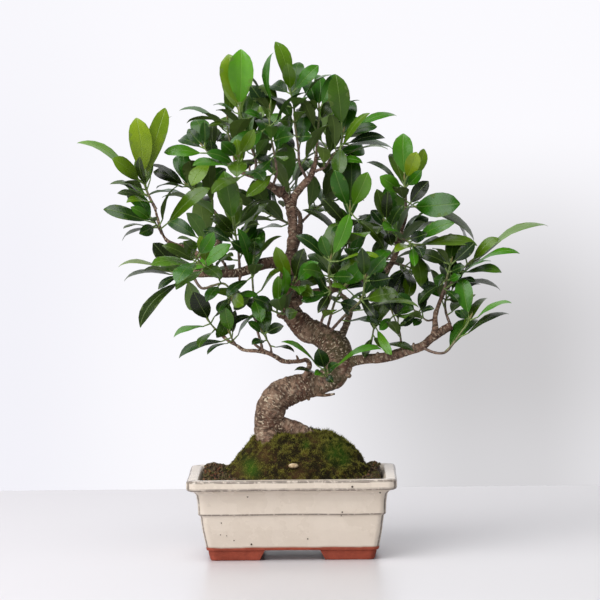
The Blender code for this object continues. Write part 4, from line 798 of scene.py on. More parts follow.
# A shoot is its name, what carries it, its radius, its line, its leaves and how many more fill it out.
# A leaf is its place along the twig (0 to 1), its tip, its width, how far its upper face turns to the
# front (0 flat with that face up, 90 facing the front, minus shows the underside), and its tone from
# 0, the darkest, to 9.
SHOOTS = [
    # left limb: its raised tip, with the rosette furthest to the left
    ("shoot_left_tip_top", "limb_left", 1.6, [(-136, -8, 350), (-142, -7, 362), (-147, -6, 375)], [
        (1.0, -213, -10, 415, 11, 22, 8), (0.95, -177, -32, 400, 16, 55, 7), (1.0, -153, -14, 440, 24, 82, 9),
        (0.9, -125, 8, 449, 17, 100, 8), (0.85, -119, 24, 440, 10, 25, 6), (0.5, -180, -20, 374, 9, 18, 4),
        (0.4, -166, 12, 371, 12, -60, 5), (0.3, -174, -2, 364, 9, 35, 3), (0.8, -149, -34, 402, 10, 120, 2),
        (0.2, -163, -34, 356, 8, 30, 6)], 2),
    ("shoot_left_tip_mid", "limb_left", 1.3, [(-131, -11, 325), (-133, -16, 331), (-136, -19, 336)], [
        (1.0, -187, -18, 349, 14, 60, 3), (0.9, -159, -36, 352, 10, 70, 5), (0.8, -150, -52, 326, 13, 90, 3),
        (0.6, -169, -10, 317, 8, 15, 2), (1.0, -138, -52, 341, 11, 95, 4),
        (0.3, -80, -14, 369, 15, 55, 4.8)], 3),
    ("shoot_left_end_low", "limb_left", 1.5, [(-101, -4, 283), (-107, -8, 283), (-114, -11, 286)], [
        (1.0, -138, -18, 315, 18, 75, 1), (0.95, -173, -14, 291, 9, 12, 8), (0.9, -150, -22, 286, 8, -25, 3),
        (0.8, -168, -2, 276, 7, 15, 3), (0.75, -133, -26, 269, 8, 60, 1), (0.3, -151, -30, 231, 15, 42, 2),
        (0.2, -97, -34, 248, 18, -85, 3), (0.1, -60, -22, 313, 14, 68, 8)], 2),
    ("shoot_left_hook", "limb_left", 1.5,
     [(-97, -8, 277), (-90, -13, 269), (-78, -18, 272), (-68, -22, 274), (-61, -26, 268), (-60, -28, 262)], [
        (0.92, -33, -30, 261, 12, 30, 6), (1.0, -47, -62, 255, 15, 90, 6.5), (0.6, -84, -52, 258, 12, 60, 4),
        (1.0, -72, -46, 246, 11, 40, 3)], 3),
    ("shoot_left_rise", "limb_left", 1.5, [(-50, -9, 288), (-53, -12, 306), (-57, -14, 331)], [
        (1.0, -66, -22, 386, 24, 88, 5), (0.9, -26, -20, 357, 8, 30, 2), (0.95, -32, -10, 352, 12, -70, 4),
        (0.9, -31, -36, 333, 9, 35, 1), (0.2, -80, -16, 299, 12, 40, 5), (0.6, -88, 2, 326, 12, 60, 2),
        (0.7, -74, -44, 345, 13, 80, 3)], 6),
    ("shoot_left_back", "limb_left", 1.6,
     [(-66, 0, 286), (-72, 26, 296), (-84, 56, 302), (-92, 84, 312)], [
        (1.0, -128, 104, 330, 14, 60, 3), (1.0, -84, 126, 338, 15, 40, 5),
        (0.9, -58, 104, 326, 14, 60, 4)], 12),
    ("shoot_left_front", "limb_left", 1.5,
     [(-72, -11, 285), (-80, -34, 290), (-88, -62, 296), (-92, -84, 304)], [
        (1.0, -104, -118, 322, 15, 60, 4), (1.0, -74, -112, 330, 14, 90, 6),
        (0.95, -126, -84, 316, 12, 55, 3)], 7),
    ("shoot_left_fork", "limb_left", 1.5, [(-65, 14, 328), (-78, 20, 345), (-93, 24, 359), (-104, 24, 370)], [
        (0.95, -143, 20, 391, 9, 20, 1), (1.0, -139, 34, 384, 14, 60, 1), (0.7, -66, 44, 386, 13, 60, 3),
        (1.0, -112, 48, 408, 13, 80, 5)], 10),
    # low left limb
    ("shoot_low_left_tip", "limb_low_left", 1.3, [(-72, -21, 224), (-78, -21, 230), (-82, -22, 235)], [
        (0.95, -97, -34, 268, 20, 96, 0), (0.9, -118, -26, 221, 11, 18, 8),
        (1.0, -62, -12, 268, 12, 150, 5.5), (0.6, -92, -48, 212, 10, 40, 4)], 0),
    ("shoot_low_left_mid", "limb_low_left", 1.2, [(-59, -20, 213), (-60, -25, 219), (-62, -29, 224)], [
        (1.0, -66, -44, 252, 18, 98, 5), (0.8, -56, -30, 248, 9, 70, 1), (0.5, -113, -30, 200, 13, 24, 3),
        (0.3, -84, -46, 205, 8, 18, 2)], 1),
    ("shoot_low_left_rise", "limb_low_left", 1.5,
     [(-25, -19, 205), (-31, -21, 213), (-36, -23, 234), (-38, -24, 262), (-39, -23, 285), (-37, -23, 300)], [
        (1.0, -60, -32, 316, 12, 60, 2), (1.0, -36, -56, 318, 13, 90, 2), (0.9, -9, -30, 321, 8, -30, 5),
        (0.95, -53, -46, 330, 10, 60, 4), (0.42, -62, -32, 231, 11, 32, 1), (0.5, -58, -44, 248, 18, -72, 4),
        (0.55, -30, -50, 237, 14, 80, 5), (0.5, -50, -14, 254, 12, 60, 2),
        (0.72, -64, -46, 262, 10, 50, 3)], 4),
    ("shoot_low_left_inner", "limb_low_left", 1.2, [(-18, -18, 201), (-22, -21, 211), (-29, -22, 224)], [
        (0.4, 2, -30, 205, 7, 18, 1), (0.6, -40, -40, 214, 8, 40, 2), (1.0, -8, -36, 232, 12, 70, 1),
        (1.0, -44, -30, 236, 9, 50, 4)], 1),
    # shoots straight off the trunk, low in front
    ("shoot_trunk_front", "trunk", 1.6, [(33, -17, 176), (33, -22, 182), (33, -26, 187)], [
        (1.0, -11, -36, 216, 9, 16, 8), (0.95, 89, -40, 208, 10, 20, 8), (1.0, 26, -56, 211, 16, 92, 2),
        (0.3, 2, -30, 187, 8, 14, 1), (0.8, 46, -54, 196, 9, 60, 3), (0.6, 41, -46, 176, 8, 80, 1),
        (0.5, 22, -50, 184, 7, 50, 7)], 0),
    ("shoot_trunk_left", "trunk", 1.3, [(-2, -9, 240), (-9, -15, 242), (-16, -20, 245)], [
        (1.0, -13, -34, 282, 13, 92, 6), (0.95, -8, -54, 292, 9, 140, 8), (0.9, -46, -16, 254, 13, 60, 2),
        (0.5, 6, -46, 247, 13, 90, 4), (0.95, -38, -44, 262, 12, 60, 3)], 2),
    ("shoot_trunk_heart", "trunk", 1.4, [(1, -9, 266), (1, -14, 270), (2, -19, 274)], [
        (1.0, -15, -36, 311, 15, 95, 7), (1.0, 13, -32, 309, 16, 80, 2), (0.9, 27, -50, 296, 15, 70, 6),
        (0.5, -18, -34, 266, 8, 25, 4), (0.8, -9, -58, 283, 12, 80, 1), (0.4, 22, -46, 262, 13, 60, 4)], 2),
    ("shoot_bend_first", "trunk", 1.5,
     [(29, -9, 232), (33, -20, 245), (39, -28, 262), (37, -34, 284), (39, -38, 297)], [
        (1.0, 58, -46, 343, 16, 92, 7.8), (0.95, 5, -42, 322, 14, 55, 2), (0.92, 89, -56, 298, 9, 16, 8),
        (0.8, 12, -60, 290, 14, 60, 5), (0.55, 26, -58, 246, 10, 80, 0), (0.6, 10, -40, 256, 12, 60, 4),
        (0.75, 62, -64, 282, 13, 80, 3), (1.0, 30, -70, 322, 13, 90, 4)], 5),
    ("shoot_bend_second", "trunk", 1.5, [(36, -8, 232), (43, -14, 254), (51, -20, 268)], [
        (1.0, 74, -44, 298, 19, 92, 5.8), (0.9, 74, -10, 270, 9, 40, 1), (0.4, 69, -34, 248, 14, 70, 1),
        (0.6, 30, -32, 266, 10, 60, 4), (0.8, 40, 0, 292, 14, 60, 2)], 3),
    ("shoot_bend_third", "trunk", 1.6,
     [(41, -7, 228), (52, -22, 240), (62, -36, 250), (70, -46, 260), (73, -52, 278)], [
        (0.9, 93, -66, 302, 23, 92, 4), (0.7, 106, -60, 264, 16, 60, 4), (0.62, 82, -60, 243, 13, 100, 0),
        (0.6, 126, -50, 250, 9, 14, 6), (1.0, 70, -82, 312, 14, 90, 3), (0.5, 50, -56, 250, 12, 70, 2),
        (1.0, 98, -84, 282, 17, 90, 0)], 4),
    # low right limb
    ("shoot_low_right_inner", "limb_low_right", 1.2, [(77, -10, 201), (79, -12, 213), (82, -13, 231)], [
        (0.5, 72, -20, 198, 9, 60, 3), (0.45, 89, -26, 208, 9, 50, 4), (1.0, 82, -22, 247, 9, 80, 1),
        (0.6, 99, -28, 202, 10, 95, 9), (0.55, 121, -24, 205, 11, 24, 3), (0.95, 100, -8, 254, 10, 60, 4),
        (1.0, 66, -26, 262, 9, 50, 1)], 1),
    ("shoot_low_right_mid", "limb_low_right", 1.2, [(111, -20, 210), (107, -22, 225), (101, -24, 241)], [
        (1.0, 87, -34, 227, 14, 92, 6), (0.9, 122, -34, 247, 9, 40, 4), (1.0, 92, -24, 268, 14, 80, 1),
        (0.5, 114, -30, 234, 7, 60, 3), (1.0, 108, -12, 272, 16, 70, 0)], 2),
    ("shoot_low_right_outer", "limb_low_right", 1.5,
     [(131, -22, 208), (139, -26, 204), (147, -28, 202.5), (154, -28, 204.5), (162, -26, 214),
      (170, -24, 225), (174, -24, 230), (177, -25, 236)], [
        (0.93, 162, -30, 245, 9, 85, 2), (0.95, 168, -38, 247, 10, 85, 4), (1.0, 170, -32, 276, 19, 94, 6),
        (1.0, 219, -30, 252, 10, 16, 8), (0.97, 217, -18, 240, 10, 18, 2), (0.98, 196, 2, 255, 9, 30, 4)], 1),
    ("shoot_low_right_left", "limb_low_right", 1.2, [(141, -14, 231), (134, -18, 235), (125, -21, 243)], [
        (1.0, 110, -26, 230, 13, 82, 1), (0.8, 142, -30, 247, 9, 35, 1), (1.0, 141, -14, 263, 8, 40, 2),
        (0.7, 121, -40, 231, 9, 70, 4), (1.0, 104, -42, 262, 12, 60, 4), (0.9, 128, -8, 262, 12, 60, 2)], 1),
    ("shoot_low_right_back", "limb_low_right", 1.5,
     [(155, -4, 232), (154, 0, 242), (154, 6, 253), (160, 12, 259)], [
        (0.6, 171, 2, 253, 8, 60, 1), (1.0, 191, 14, 271, 10, 30, 3), (0.95, 190, 28, 267, 9, 25, 3),
        (1.0, 170, 20, 290, 14, 80, 2), (1.0, 152, 42, 286, 14, 60, 3), (0.8, 130, 24, 268, 13, 50, 4),
        (0.9, 180, 44, 258, 12, 40, 4)], 3),
    ("shoot_right_crown", "limb_low_right", 1.6,
     [(150, -10, 260), (153, -11, 268), (156, -12, 280), (159, -12, 291)], [
        (1.0, 183, -14, 312, 14, 84, 1), (0.9, 127, -10, 301, 18, 62, 2), (0.95, 145, -6, 303, 17, 80, 1),
        (0.4, 141, -40, 278, 15, 96, 5), (0.45, 169, -24, 280, 11, 65, 5), (0.3, 166, -26, 254, 9, 60, 3),
        (0.6, 173, -26, 289, 10, 60, 2), (0.35, 126, -16, 250, 9, 45, 2), (1.0, 160, 10, 320, 14, 70, 3)], 3),
    ("shoot_right_reach", "limb_low_right", 1.4,
     [(148, -9, 252), (155, -2, 264), (165, 2, 278), (177, 3, 290)], [
        (1.0, 208, 4, 315, 12, 48, 6), (1.0, 258, -6, 326, 11, 14, 7), (0.95, 228, -12, 300, 10, 22, 7),
        (0.9, 194, 12, 292, 8, 12, 1), (0.8, 210, -8, 281, 12, 30, 6), (0.7, 209, 8, 262, 9, 16, 3),
        (0.5, 184, 20, 272, 10, 30, 3)], 3),
    # right limb, rising behind
    ("shoot_right_top", "limb_right", 1.6, [(115, 4, 342), (115, 2, 358), (114, 0, 374)], [
        (1.0, 113, 2, 421, 22, 92, 7), (0.95, 126, -14, 403, 22, 88, 9), (0.7, 131, -24, 385, 11, 80, 5),
        (0.75, 76, 2, 392, 10, 22, 3), (0.5, 89, -14, 379, 16, 82, 8), (0.98, 134, 16, 405, 13, 110, 8),
        (0.2, 138, 4, 373, 22, 78, 0), (0.15, 169, -18, 351, 26, 76, 4.2), (0.2, 183, 12, 312, 12, 24, 3),
        (0.1, 122, -26, 313, 12, 88, 6), (0.85, 100, 26, 400, 13, 60, 5)], 2),
    ("shoot_right_side", "limb_right", 1.4, [(110, 12, 318), (116, 4, 313), (122, -5, 310)], [
        (0.9, 103, -34, 304, 9, 40, 8), (1.0, 186, -6, 308, 13, 40, 6), (1.0, 130, -42, 300, 11, 88, 1),
        (0.8, 138, -14, 294, 12, 60, 4), (0.9, 122, -36, 290, 10, 80, 7), (1.0, 163, -22, 332, 14, 60, 5),
        (1.0, 136, -20, 322, 12, 70, 1)], 3),
    ("shoot_right_inner", "limb_right", 1.4, [(104, 17, 304), (100, 8, 318), (94, -1, 331)], [
        (1.0, 97, -12, 364, 12, 92, 1), (0.95, 86, -4, 366, 13, 80, 4), (0.9, 112, -16, 350, 12, 70, 2),
        (0.8, 100, -24, 310, 13, 85, 1), (0.9, 70, -14, 322, 12, 60, 2), (0.6, 82, -20, 300, 12, 60, 3),
        (0.7, 80, 12, 344, 12, 60, 2)], 4),
    ("shoot_right_hang", "limb_right", 1.3, [(109, 26, 290), (114, 22, 287), (120, 17, 285)], [
        (1.0, 116, 0, 256, 15, 94, 6), (0.7, 100, 8, 258, 17, 80, 0), (0.9, 136, -2, 268, 12, 60, 3),
        (1.0, 140, 34, 282, 13, 50, 4), (0.5, 112, 62, 274, 14, 50, 3)], 2),
    ("shoot_right_back", "limb_right", 1.5,
     [(82, 31, 277), (92, 54, 288), (104, 80, 300), (108, 104, 312)], [
        (1.0, 140, 120, 330, 14, 60, 3), (1.0, 92, 146, 326, 15, 50, 5), (0.9, 76, 104, 334, 14, 60, 4)], 11),
    ("shoot_right_heart", "limb_right", 1.5,
     [(52, 20, 270), (56, 8, 290), (58, -6, 315), (59, -14, 345)], [
        (1.0, 44, -26, 386, 18, 92, 4.2), (1.0, 77, -30, 384, 19, 90, 6.6), (0.9, 60, 4, 402, 20, 84, 3),
        (0.85, 92, -20, 307, 10, 50, 3), (0.8, 40, -34, 322, 10, 50, 3), (0.7, 31, -16, 358, 14, 75, 1),
        (0.6, 80, -8, 340, 13, 60, 1), (0.75, 11, -14, 346, 9, 30, 1), (0.5, 38, 8, 306, 13, 50, 2)], 6),
    # apex, left side
    ("shoot_apex_left_inner", "limb_apex_left", 1.4,
     [(-15, -4, 370), (-14, -7, 384), (-16, -8, 402), (-20, -8, 425), (-20, -7, 446)], [
        (0.72, -61, -24, 403, 24, 62, 4.6), (0.8, -45, -14, 444, 11, 25, 5), (0.97, -39, -10, 471, 17, 80, 1),
        (1.0, -52, 4, 485, 8, -12, 3), (0.3, -6, -38, 396, 14, 85, 6), (0.35, -36, -22, 377, 11, 60, 3),
        (1.0, -16, 0, 503, 9, 150, 5), (0.6, 4, -30, 420, 13, 70, 3), (0.15, -44, -30, 361, 13, 80, 6)], 7),
    ("shoot_apex_left_tall", "limb_apex_left", 1.5,
     [(-31, -1, 381), (-35, 0, 397), (-43, 1, 418), (-50, 2, 443)], [
        (1.0, -61, 0, 502, 26, 85, 8), (1.0, -48, -12, 507, 27, 90, 9), (0.95, -67, 14, 479, 14, -80, 7),
        (0.9, -77, 8, 451, 8, 12, 4), (0.85, -82, -12, 430, 10, 30, 3), (0.9, -30, 26, 470, 15, 60, 4),
        (0.6, -36, 40, 440, 14, 60, 3)], 5),
    ("shoot_apex_left_mid", "limb_apex_left", 1.3,
     [(-53, 6, 389), (-58, 8, 405), (-62, 8, 422), (-63, 8, 436)], [
        (1.0, -111, 6, 446, 10, 16, 4), (0.95, -104, 14, 433, 9, -18, 4), (0.6, -73, 22, 414, 9, 30, 3),
        (1.0, -62, 34, 470, 15, 60, 5), (0.5, -90, 40, 420, 13, 50, 3), (0.9, -34, 40, 446, 13, 60, 4)], 4),
    ("shoot_apex_left_end", "limb_apex_left", 1.3, [(-74, 10, 396), (-81, 12, 402), (-87, 12, 409)], [
        (1.0, -86, 4, 435, 11, 88, 3), (0.9, -103, 20, 427, 14, 80, 3), (0.5, -127, 12, 404, 14, 42, 7),
        (0.3, -99, -8, 371, 16, 62, 7), (0.4, -79, -20, 417, 13, 90, 2), (0.9, -112, 44, 416, 12, 50, 3)], 2),
    ("shoot_apex_left_back", "limb_apex_left", 1.5,
     [(-26, 2, 377), (-30, 28, 390), (-38, 56, 402), (-42, 80, 416)], [
        (1.0, -74, 98, 434, 15, 55, 4), (1.0, -30, 112, 448, 15, 60, 6), (0.9, -10, 84, 440, 14, 60, 5)], 11),
    ("shoot_apex_left_front", "limb_apex_left", 1.4,
     [(-40, -6, 379), (-46, -28, 386), (-50, -54, 392), (-50, -76, 402)], [
        (1.0, -66, -108, 418, 15, 90, 5), (1.0, -34, -104, 430, 14, 90, 6),
        (0.9, -82, -76, 406, 13, 60, 4)], 6),
    # apex, right side
    ("shoot_apex_centre", "limb_apex_right", 1.5,
     [(14, 3, 378), (9, 2, 392), (8, 1, 408), (5, 0, 430), (4, -1, 449), (1, -2, 463)], [
        (1.0, -14, 2, 514, 16, 60, 7.2), (0.97, -2, -20, 493, 14, 95, 5), (0.95, 29, -6, 490, 15, 80, 6),
        (0.85, 14, -46, 458, 18, 90, 5), (0.9, -18, 26, 470, 14, 60, 3), (0.7, 24, 30, 452, 14, 60, 3),
        (0.6, -10, -36, 436, 13, 80, 4), (0.45, 22, -34, 420, 13, 70, 3), (0.5, -14, 34, 430, 13, 50, 2)], 8),
    ("shoot_apex_right_rise", "limb_apex_right", 1.4, [(26, 4, 405), (28, 2, 425), (29, 0, 446)], [
        (1.0, 46, 4, 481, 13, 80, 5), (0.85, 20, -14, 455, 16, -80, 5), (0.7, 46, 24, 452, 14, 60, 3),
        (0.6, 8, 34, 446, 13, 60, 3), (1.0, 28, 34, 480, 14, 70, 5)], 4),
    ("shoot_apex_right_reach", "limb_apex_right", 1.5,
     [(27, 4, 382), (34, 1, 388), (42, -2, 399), (50, -4, 409), (53, -6, 422)], [
        (1.0, 46, -12, 481, 23, 86, 4.2), (0.9, 87, -2, 428, 13, 50, 4), (0.85, 95, 8, 416, 10, 40, 1),
        (0.75, 105, 12, 401, 9, 16, 5), (0.7, 48, -28, 380, 20, 95, 4), (0.95, 107, -2, 438, 12, 34, 7),
        (0.9, 80, -16, 442, 10, 40, 5), (0.8, 74, 26, 404, 13, 50, 5), (0.6, 72, -26, 392, 12, 40, 5)], 5),
    ("shoot_apex_right_back", "limb_apex_right", 1.5,
     [(17, 13, 378), (24, 34, 392), (34, 60, 402), (40, 84, 414)], [
        (1.0, 70, 98, 434, 15, 60, 5), (1.0, 30, 118, 446, 15, 50, 6), (0.9, 8, 88, 440, 14, 60, 4)], 10),
    # the two limbs at the back
    ("shoot_back_high_end", "limb_back_high", 1.6, [(2, 96, 345), (-2, 112, 356), (-4, 124, 366)], [
        (1.0, -32, 146, 392, 15, 50, 5), (1.0, 20, 152, 390, 15, 50, 5), (0.9, -40, 126, 352, 14, 50, 3)], 8),
    ("shoot_back_high_side", "limb_back_high", 1.4, [(9, 58, 333), (24, 72, 343), (38, 84, 352)], [
        (1.0, 74, 92, 372, 14, 50, 4), (1.0, 50, 112, 384, 14, 60, 5)], 9),
    ("shoot_back_high_left", "limb_back_high", 1.4, [(1, 50, 324), (-14, 60, 334), (-30, 68, 342)], [
        (1.0, -64, 80, 362, 14, 50, 3), (1.0, -38, 96, 372, 14, 60, 4)], 9),
    ("shoot_back_low_end", "limb_back_low", 1.5, [(50, 104, 252), (46, 118, 262), (40, 130, 270)], [
        (1.0, 16, 152, 292, 15, 50, 4), (1.0, 62, 158, 290, 15, 50, 5), (0.9, 4, 128, 262, 14, 50, 3)], 8),
    ("shoot_back_low_side", "limb_back_low", 1.4, [(59, 68, 240), (74, 76, 250), (88, 86, 258)], [
        (1.0, 124, 96, 276, 14, 50, 4), (1.0, 96, 118, 284, 14, 60, 4)], 7),
]


def smooth_path(points, count):
    """`count` evenly spaced rows on the smooth curve through `points`, which the leaves are placed by."""
    rows = [Vector(p) for p in points]
    rows = [rows[0] * 2 - rows[1]] + rows + [rows[-1] * 2 - rows[-2]]
    fine = []
    for a, b, c, d in zip(rows, rows[1:], rows[2:], rows[3:]):
        for k in range(8):
            t = k / 8
            fine.append(0.5 * (2 * b + (c - a) * t + (2 * a - 5 * b + 4 * c - d) * t**2
                               + (3 * b - a - 3 * c + d) * t**3))
    fine.append(rows[-2])
    reach = [0.0]
    for a, b in zip(fine, fine[1:]):
        reach.append(reach[-1] + (b.to_3d() - a.to_3d()).length)
    out = []
    at = 0
    for k in range(count):
        want = reach[-1] * k / (count - 1)
        while at < len(fine) - 2 and reach[at + 1] < want:
            at += 1
        stretch = reach[at + 1] - reach[at]
        out.append(fine[at].lerp(fine[at + 1], (want - reach[at]) / stretch if stretch else 0.0))
    return out


def plain_tube(rows, sides):
    """Corners and faces of a plain tube round (x, y, z, radius) rows, which stands for wood."""
    line = [row.to_3d() for row in rows]
    heading = [(line[min(k + 1, len(line) - 1)] - line[max(k - 1, 0)]).normalized()
               for k in range(len(line))]
    side = heading[0].orthogonal().normalized()
    verts = []
    for point, along, row in zip(line, heading, rows):
        side = (side - along * side.dot(along)).normalized()
        up = along.cross(side)
        for k in range(sides):
            angle = math.tau * k / sides
            verts.append(point + (side * math.cos(angle) + up * math.sin(angle)) * row[3])
    faces = []
    for ring in range(len(line) - 1):
        for k in range(sides):
            a, b = ring * sides + k, ring * sides + (k + 1) % sides
            faces.append((a, b, b + sides, a + sides))
    last = (len(line) - 1) * sides
    return verts, faces + [tuple(reversed(range(sides))), tuple(range(last, last + sides))]


def leaf_normal(along, turn):
    """The upper face's direction for a leaf pointing `along`, turned `turn` degrees toward the front."""
    front = Vector((0, -1, 0)) if abs(along.y) < 0.93 else Vector((0, 0, 1))
    front = (front - along * front.dot(along)).normalized()
    other = along.cross(front)
    if (other.z if abs(other.z) > 0.12 else other.x) < 0:
        other = -other
    return front * math.sin(math.radians(turn)) + other * math.cos(math.radians(turn))


def leaf_arch(blade, edge_on, at):
    """How far a blade's middle is raised: a power of the way up it times a power of the way left."""
    return blade * (0.07 + 0.09 * edge_on) * 3.85 * at**1.2 * (1 - at) ** 0.8


def leaf_frame(start, tip, normal):
    """A leaf's length, its petiole's length, and its heading, upper side and width directions."""
    length = (tip - start).length
    along = (tip - start) / length
    normal = (normal - along * normal.dot(along)).normalized()
    return length, min(LONGEST_STALK, STALK_SHARE * length), along, normal, normal.cross(along)


def leaf_rings(start, tip, width, normal, edge_on):
    """Four four-cornered sections of a leaf: its blade's foot, two across it and its tip, on an arch."""
    length, petiole, along, normal, side = leaf_frame(start, tip, normal)
    rings = []
    sections = ((0.0, 0.75, 0.7), (0.3, 0.47 * width, 0.55), (0.68, 0.43 * width, 0.5), (1.0, 0.3, 0.3))
    for at, half, thick in sections:
        lift = leaf_arch(length - petiole, edge_on, at)
        middle = start + along * (petiole + (length - petiole) * at) + normal * lift
        rings.append([middle + side * half, middle + normal * thick,
                      middle - side * half, middle - normal * thick])
    return rings


def ring_solid(rings, swell=0.0):
    """Corners and faces of a skin over four-cornered sections, swollen to leave air round it."""
    verts = []
    for ring in rings:
        middle = sum(ring, Vector()) / 4
        verts += [v + (v - middle).normalized() * swell for v in ring]
    faces = [(0, 1, 2, 3)]
    for low in range(0, len(verts) - 4, 4):
        faces += [(low + k, low + (k + 1) % 4, low + (k + 1) % 4 + 4, low + k + 4) for k in range(4)]
    faces.append((len(verts) - 4, len(verts) - 3, len(verts) - 2, len(verts) - 1))
    return verts, faces


def corners_of(verts):
    """The lowest and highest corners of the box round some points."""
    return [Vector([end(v[k] for v in verts) for k in range(3)]) for end in (min, max)]


class Standing:
    """What stands already, for asking whether a new leaf would touch any of it."""

    def __init__(self):
        self.items = []

    def add(self, owner, verts, faces):
        self.items.append((owner, *corners_of(verts), BVHTree.FromPolygons(verts, faces)))

    def clear(self, verts, faces, skip=(), only=None):
        low, high = corners_of(verts)
        tree = None
        for owner, at_low, at_high, other in self.items:
            if owner in skip or (only and owner not in only):
                continue
            if any(low[k] > at_high[k] or high[k] < at_low[k] for k in range(3)):
                continue
            tree = tree or BVHTree.FromPolygons(verts, faces)
            if tree.overlap(other):
                return False
        return True


def shoot_start(centres, path, radius):
    """A shoot's points, the first one moved to just clear of the wood that carries it."""
    first, second = Vector(path[0]), Vector(path[1])
    best = None
    for rows in centres:
        for k, row in enumerate(rows):
            distance = (row.to_3d() - first).length - row[3]
            if best is None or distance < best[0]:
                ahead = rows[min(k + 1, len(rows) - 1)].to_3d() - rows[max(k - 1, 0)].to_3d()
                best = (distance, row, ahead.normalized(), k == len(rows) - 1)
    row, along, at_end = best[1:]
    centre = row.to_3d()
    out = (second - centre).normalized()
    lean = abs(out.dot(along))
    if at_end and out.dot(along) > 0.55:
        return [centre + out * (GAP + row[3] * math.sqrt(1 - lean * lean))] + [Vector(p) for p in path[1:]]
    sine = max(0.45, math.sqrt(1 - lean * lean))
    reach = (row[3] + GAP + 0.1 + radius * lean) / sine
    keep = [Vector(p) for p in path[1:] if (Vector(p) - centre).length > reach + 2.0]
    return [centre + out * reach] + keep


def stem_rows(points, radius, leaves):
    """A stem's rows: two close together at each node, and a node for every four leaves."""
    count = 2 + math.ceil(leaves / 4)
    taper = 0.45 / (len(points) - 1)
    rows = smooth_path([(*p, radius * (1 - taper * j)) for j, p in enumerate(points)], count)
    out = [rows[0]]
    for before, row in zip(rows, rows[1:]):
        stretch = (row.to_3d() - before.to_3d()).length
        out += [row.lerp(before, min(0.5, 2.0 / stretch)), row]
    return out


def along_stem(line, t):
    """The point and the heading at t, from 0 to 1, along a stem's middle line."""
    spot = t * (len(line) - 1)
    k = min(int(spot), len(line) - 2)
    return line[k].lerp(line[k + 1], spot - k), (line[k + 1] - line[k]).normalized()


def listed_choices(at, goal, width, turn):
    """A listed leaf as it is given, then turned a little, reaching nearer or further, or shorter."""
    for shrink, swing, shift in itertools.product(SHORTENED, SWINGS, SHIFTS):
        tip = at + (goal + Vector((0, shift, 0)) - at) * shrink
        yield tip, width * shrink, leaf_normal((tip - at).normalized(), turn + swing)


def filling_choices(at, ahead, number):
    """A leaf in the usual spiral round the stem, then the same with its bearing or length changed."""
    across = ahead.orthogonal().normalized()
    for trial in range(FILL_TRIALS):
        bearing = math.radians(SPIRAL * number + 40 + 15 * (trial % 12 // 2) * (-1) ** trial)
        away = across * math.cos(bearing) + ahead.cross(across) * math.sin(bearing)
        along = (ahead * (0.75 - 0.05 * (trial % 12)) + away + Vector((0, 0, 0.12))).normalized()
        length = FILL_LENGTHS[number % len(FILL_LENGTHS)] * (1.0, 0.85, 0.7)[trial // 12]
        tip = at + along * length
        if FILL_DEPTHS[0] < tip.y < FILL_DEPTHS[1]:
            yield tip, 0.36 * length, Vector((0, 0, 0.8)) + ahead * 0.5


def fitted_rings(corners, rings):
    """The rings with their corners counted from the one nearest the side face's first corner."""
    turn = min(range(4), key=lambda k: sum((corners[j] - rings[0][(j + k) % 4]).length for j in range(4)))
    return [[ring[(j + turn) % 4] for j in range(4)] for ring in rings]


def listed_leaves(shoot, rows):
    """The listed leaves of a shoot: each one's node, the ways it may lie, how far edge-on, and its tone."""
    line = [row.to_3d() for row in rows]
    wanted = []
    for t, x, y, z, width, turn, tone in shoot[4]:
        at, _ = along_stem(line, t)
        choices = listed_choices(at, Vector((x, y, z)), width, turn)
        wanted.append((at, choices, abs(math.cos(math.radians(turn))), tone))
    return wanted


def filling_leaves(shoot, rows):
    """The leaves that fill a shoot, spread down its stem from the tip, in the same form."""
    line = [row.to_3d() for row in rows]
    spots = [along_stem(line, 1.0 - 0.85 * (number + 0.5) / shoot[5]) for number in range(shoot[5])]
    return [(at, filling_choices(at, ahead, number), 0.7, FILL_TONES[number % len(FILL_TONES)])
            for number, (at, ahead) in enumerate(spots)]


def place_leaves(name, wanted, free, standing):
    """Stands every leaf of a shoot at a node, clear of all that stands already, and gives for each its foot,
    tip, width, upper side, how far it lies edge-on, and tone."""
    placed = []
    own = (name + " leaf", name + " stem")
    for at, choices, edge_on, tone in wanted:
        found = None
        for tip, width, normal in choices:
            toward = (tip - at).normalized()
            near = sorted(free, key=lambda key: ((free[key][0] - at).length
                                                 + 5 * (1 - free[key][1].dot(toward))))
            for key in near[:3]:
                middle, _, corners = free[key]
                rings = fitted_rings(corners, leaf_rings(middle, tip, width, normal, edge_on))
                root = [corner.lerp(end, 0.12) for corner, end in zip(corners, rings[0])]
                if (standing.clear(*ring_solid([root] + rings), only=own)
                        and standing.clear(*ring_solid([root] + rings, NARROW_AIR), skip=own)):
                    found = key
                    break
            if found is not None:
                break
        if found is None:
            continue
        placed.append((free.pop(found)[0], tip, width, normal, edge_on, tone))
        standing.add(own[0], *ring_solid([root] + rings))
    return placed


def full_width(leaf, standing, owner):
    """The leaf grown from its narrow bud width toward a full blade, as far as nothing else is touched."""
    start, tip, width, normal, edge_on, tone = leaf
    length = (tip - start).length
    goal = min(max(0.94 * width * (1 + 0.5 * edge_on**2), 0.235 * length), 0.43 * length, WIDEST_LEAF)
    for share in (1.0, 0.75, 0.5, 0.25):
        wide = width + (goal - width) * share
        rings = leaf_rings(start, tip, wide, normal, edge_on)
        if wide <= width or standing.clear(*ring_solid(rings, WIDE_AIR), skip=(owner,)):
            break
        wide = width
    standing.add(owner, *ring_solid(leaf_rings(start, tip, wide, normal, edge_on)))
    return start, tip, wide, normal, edge_on, tone


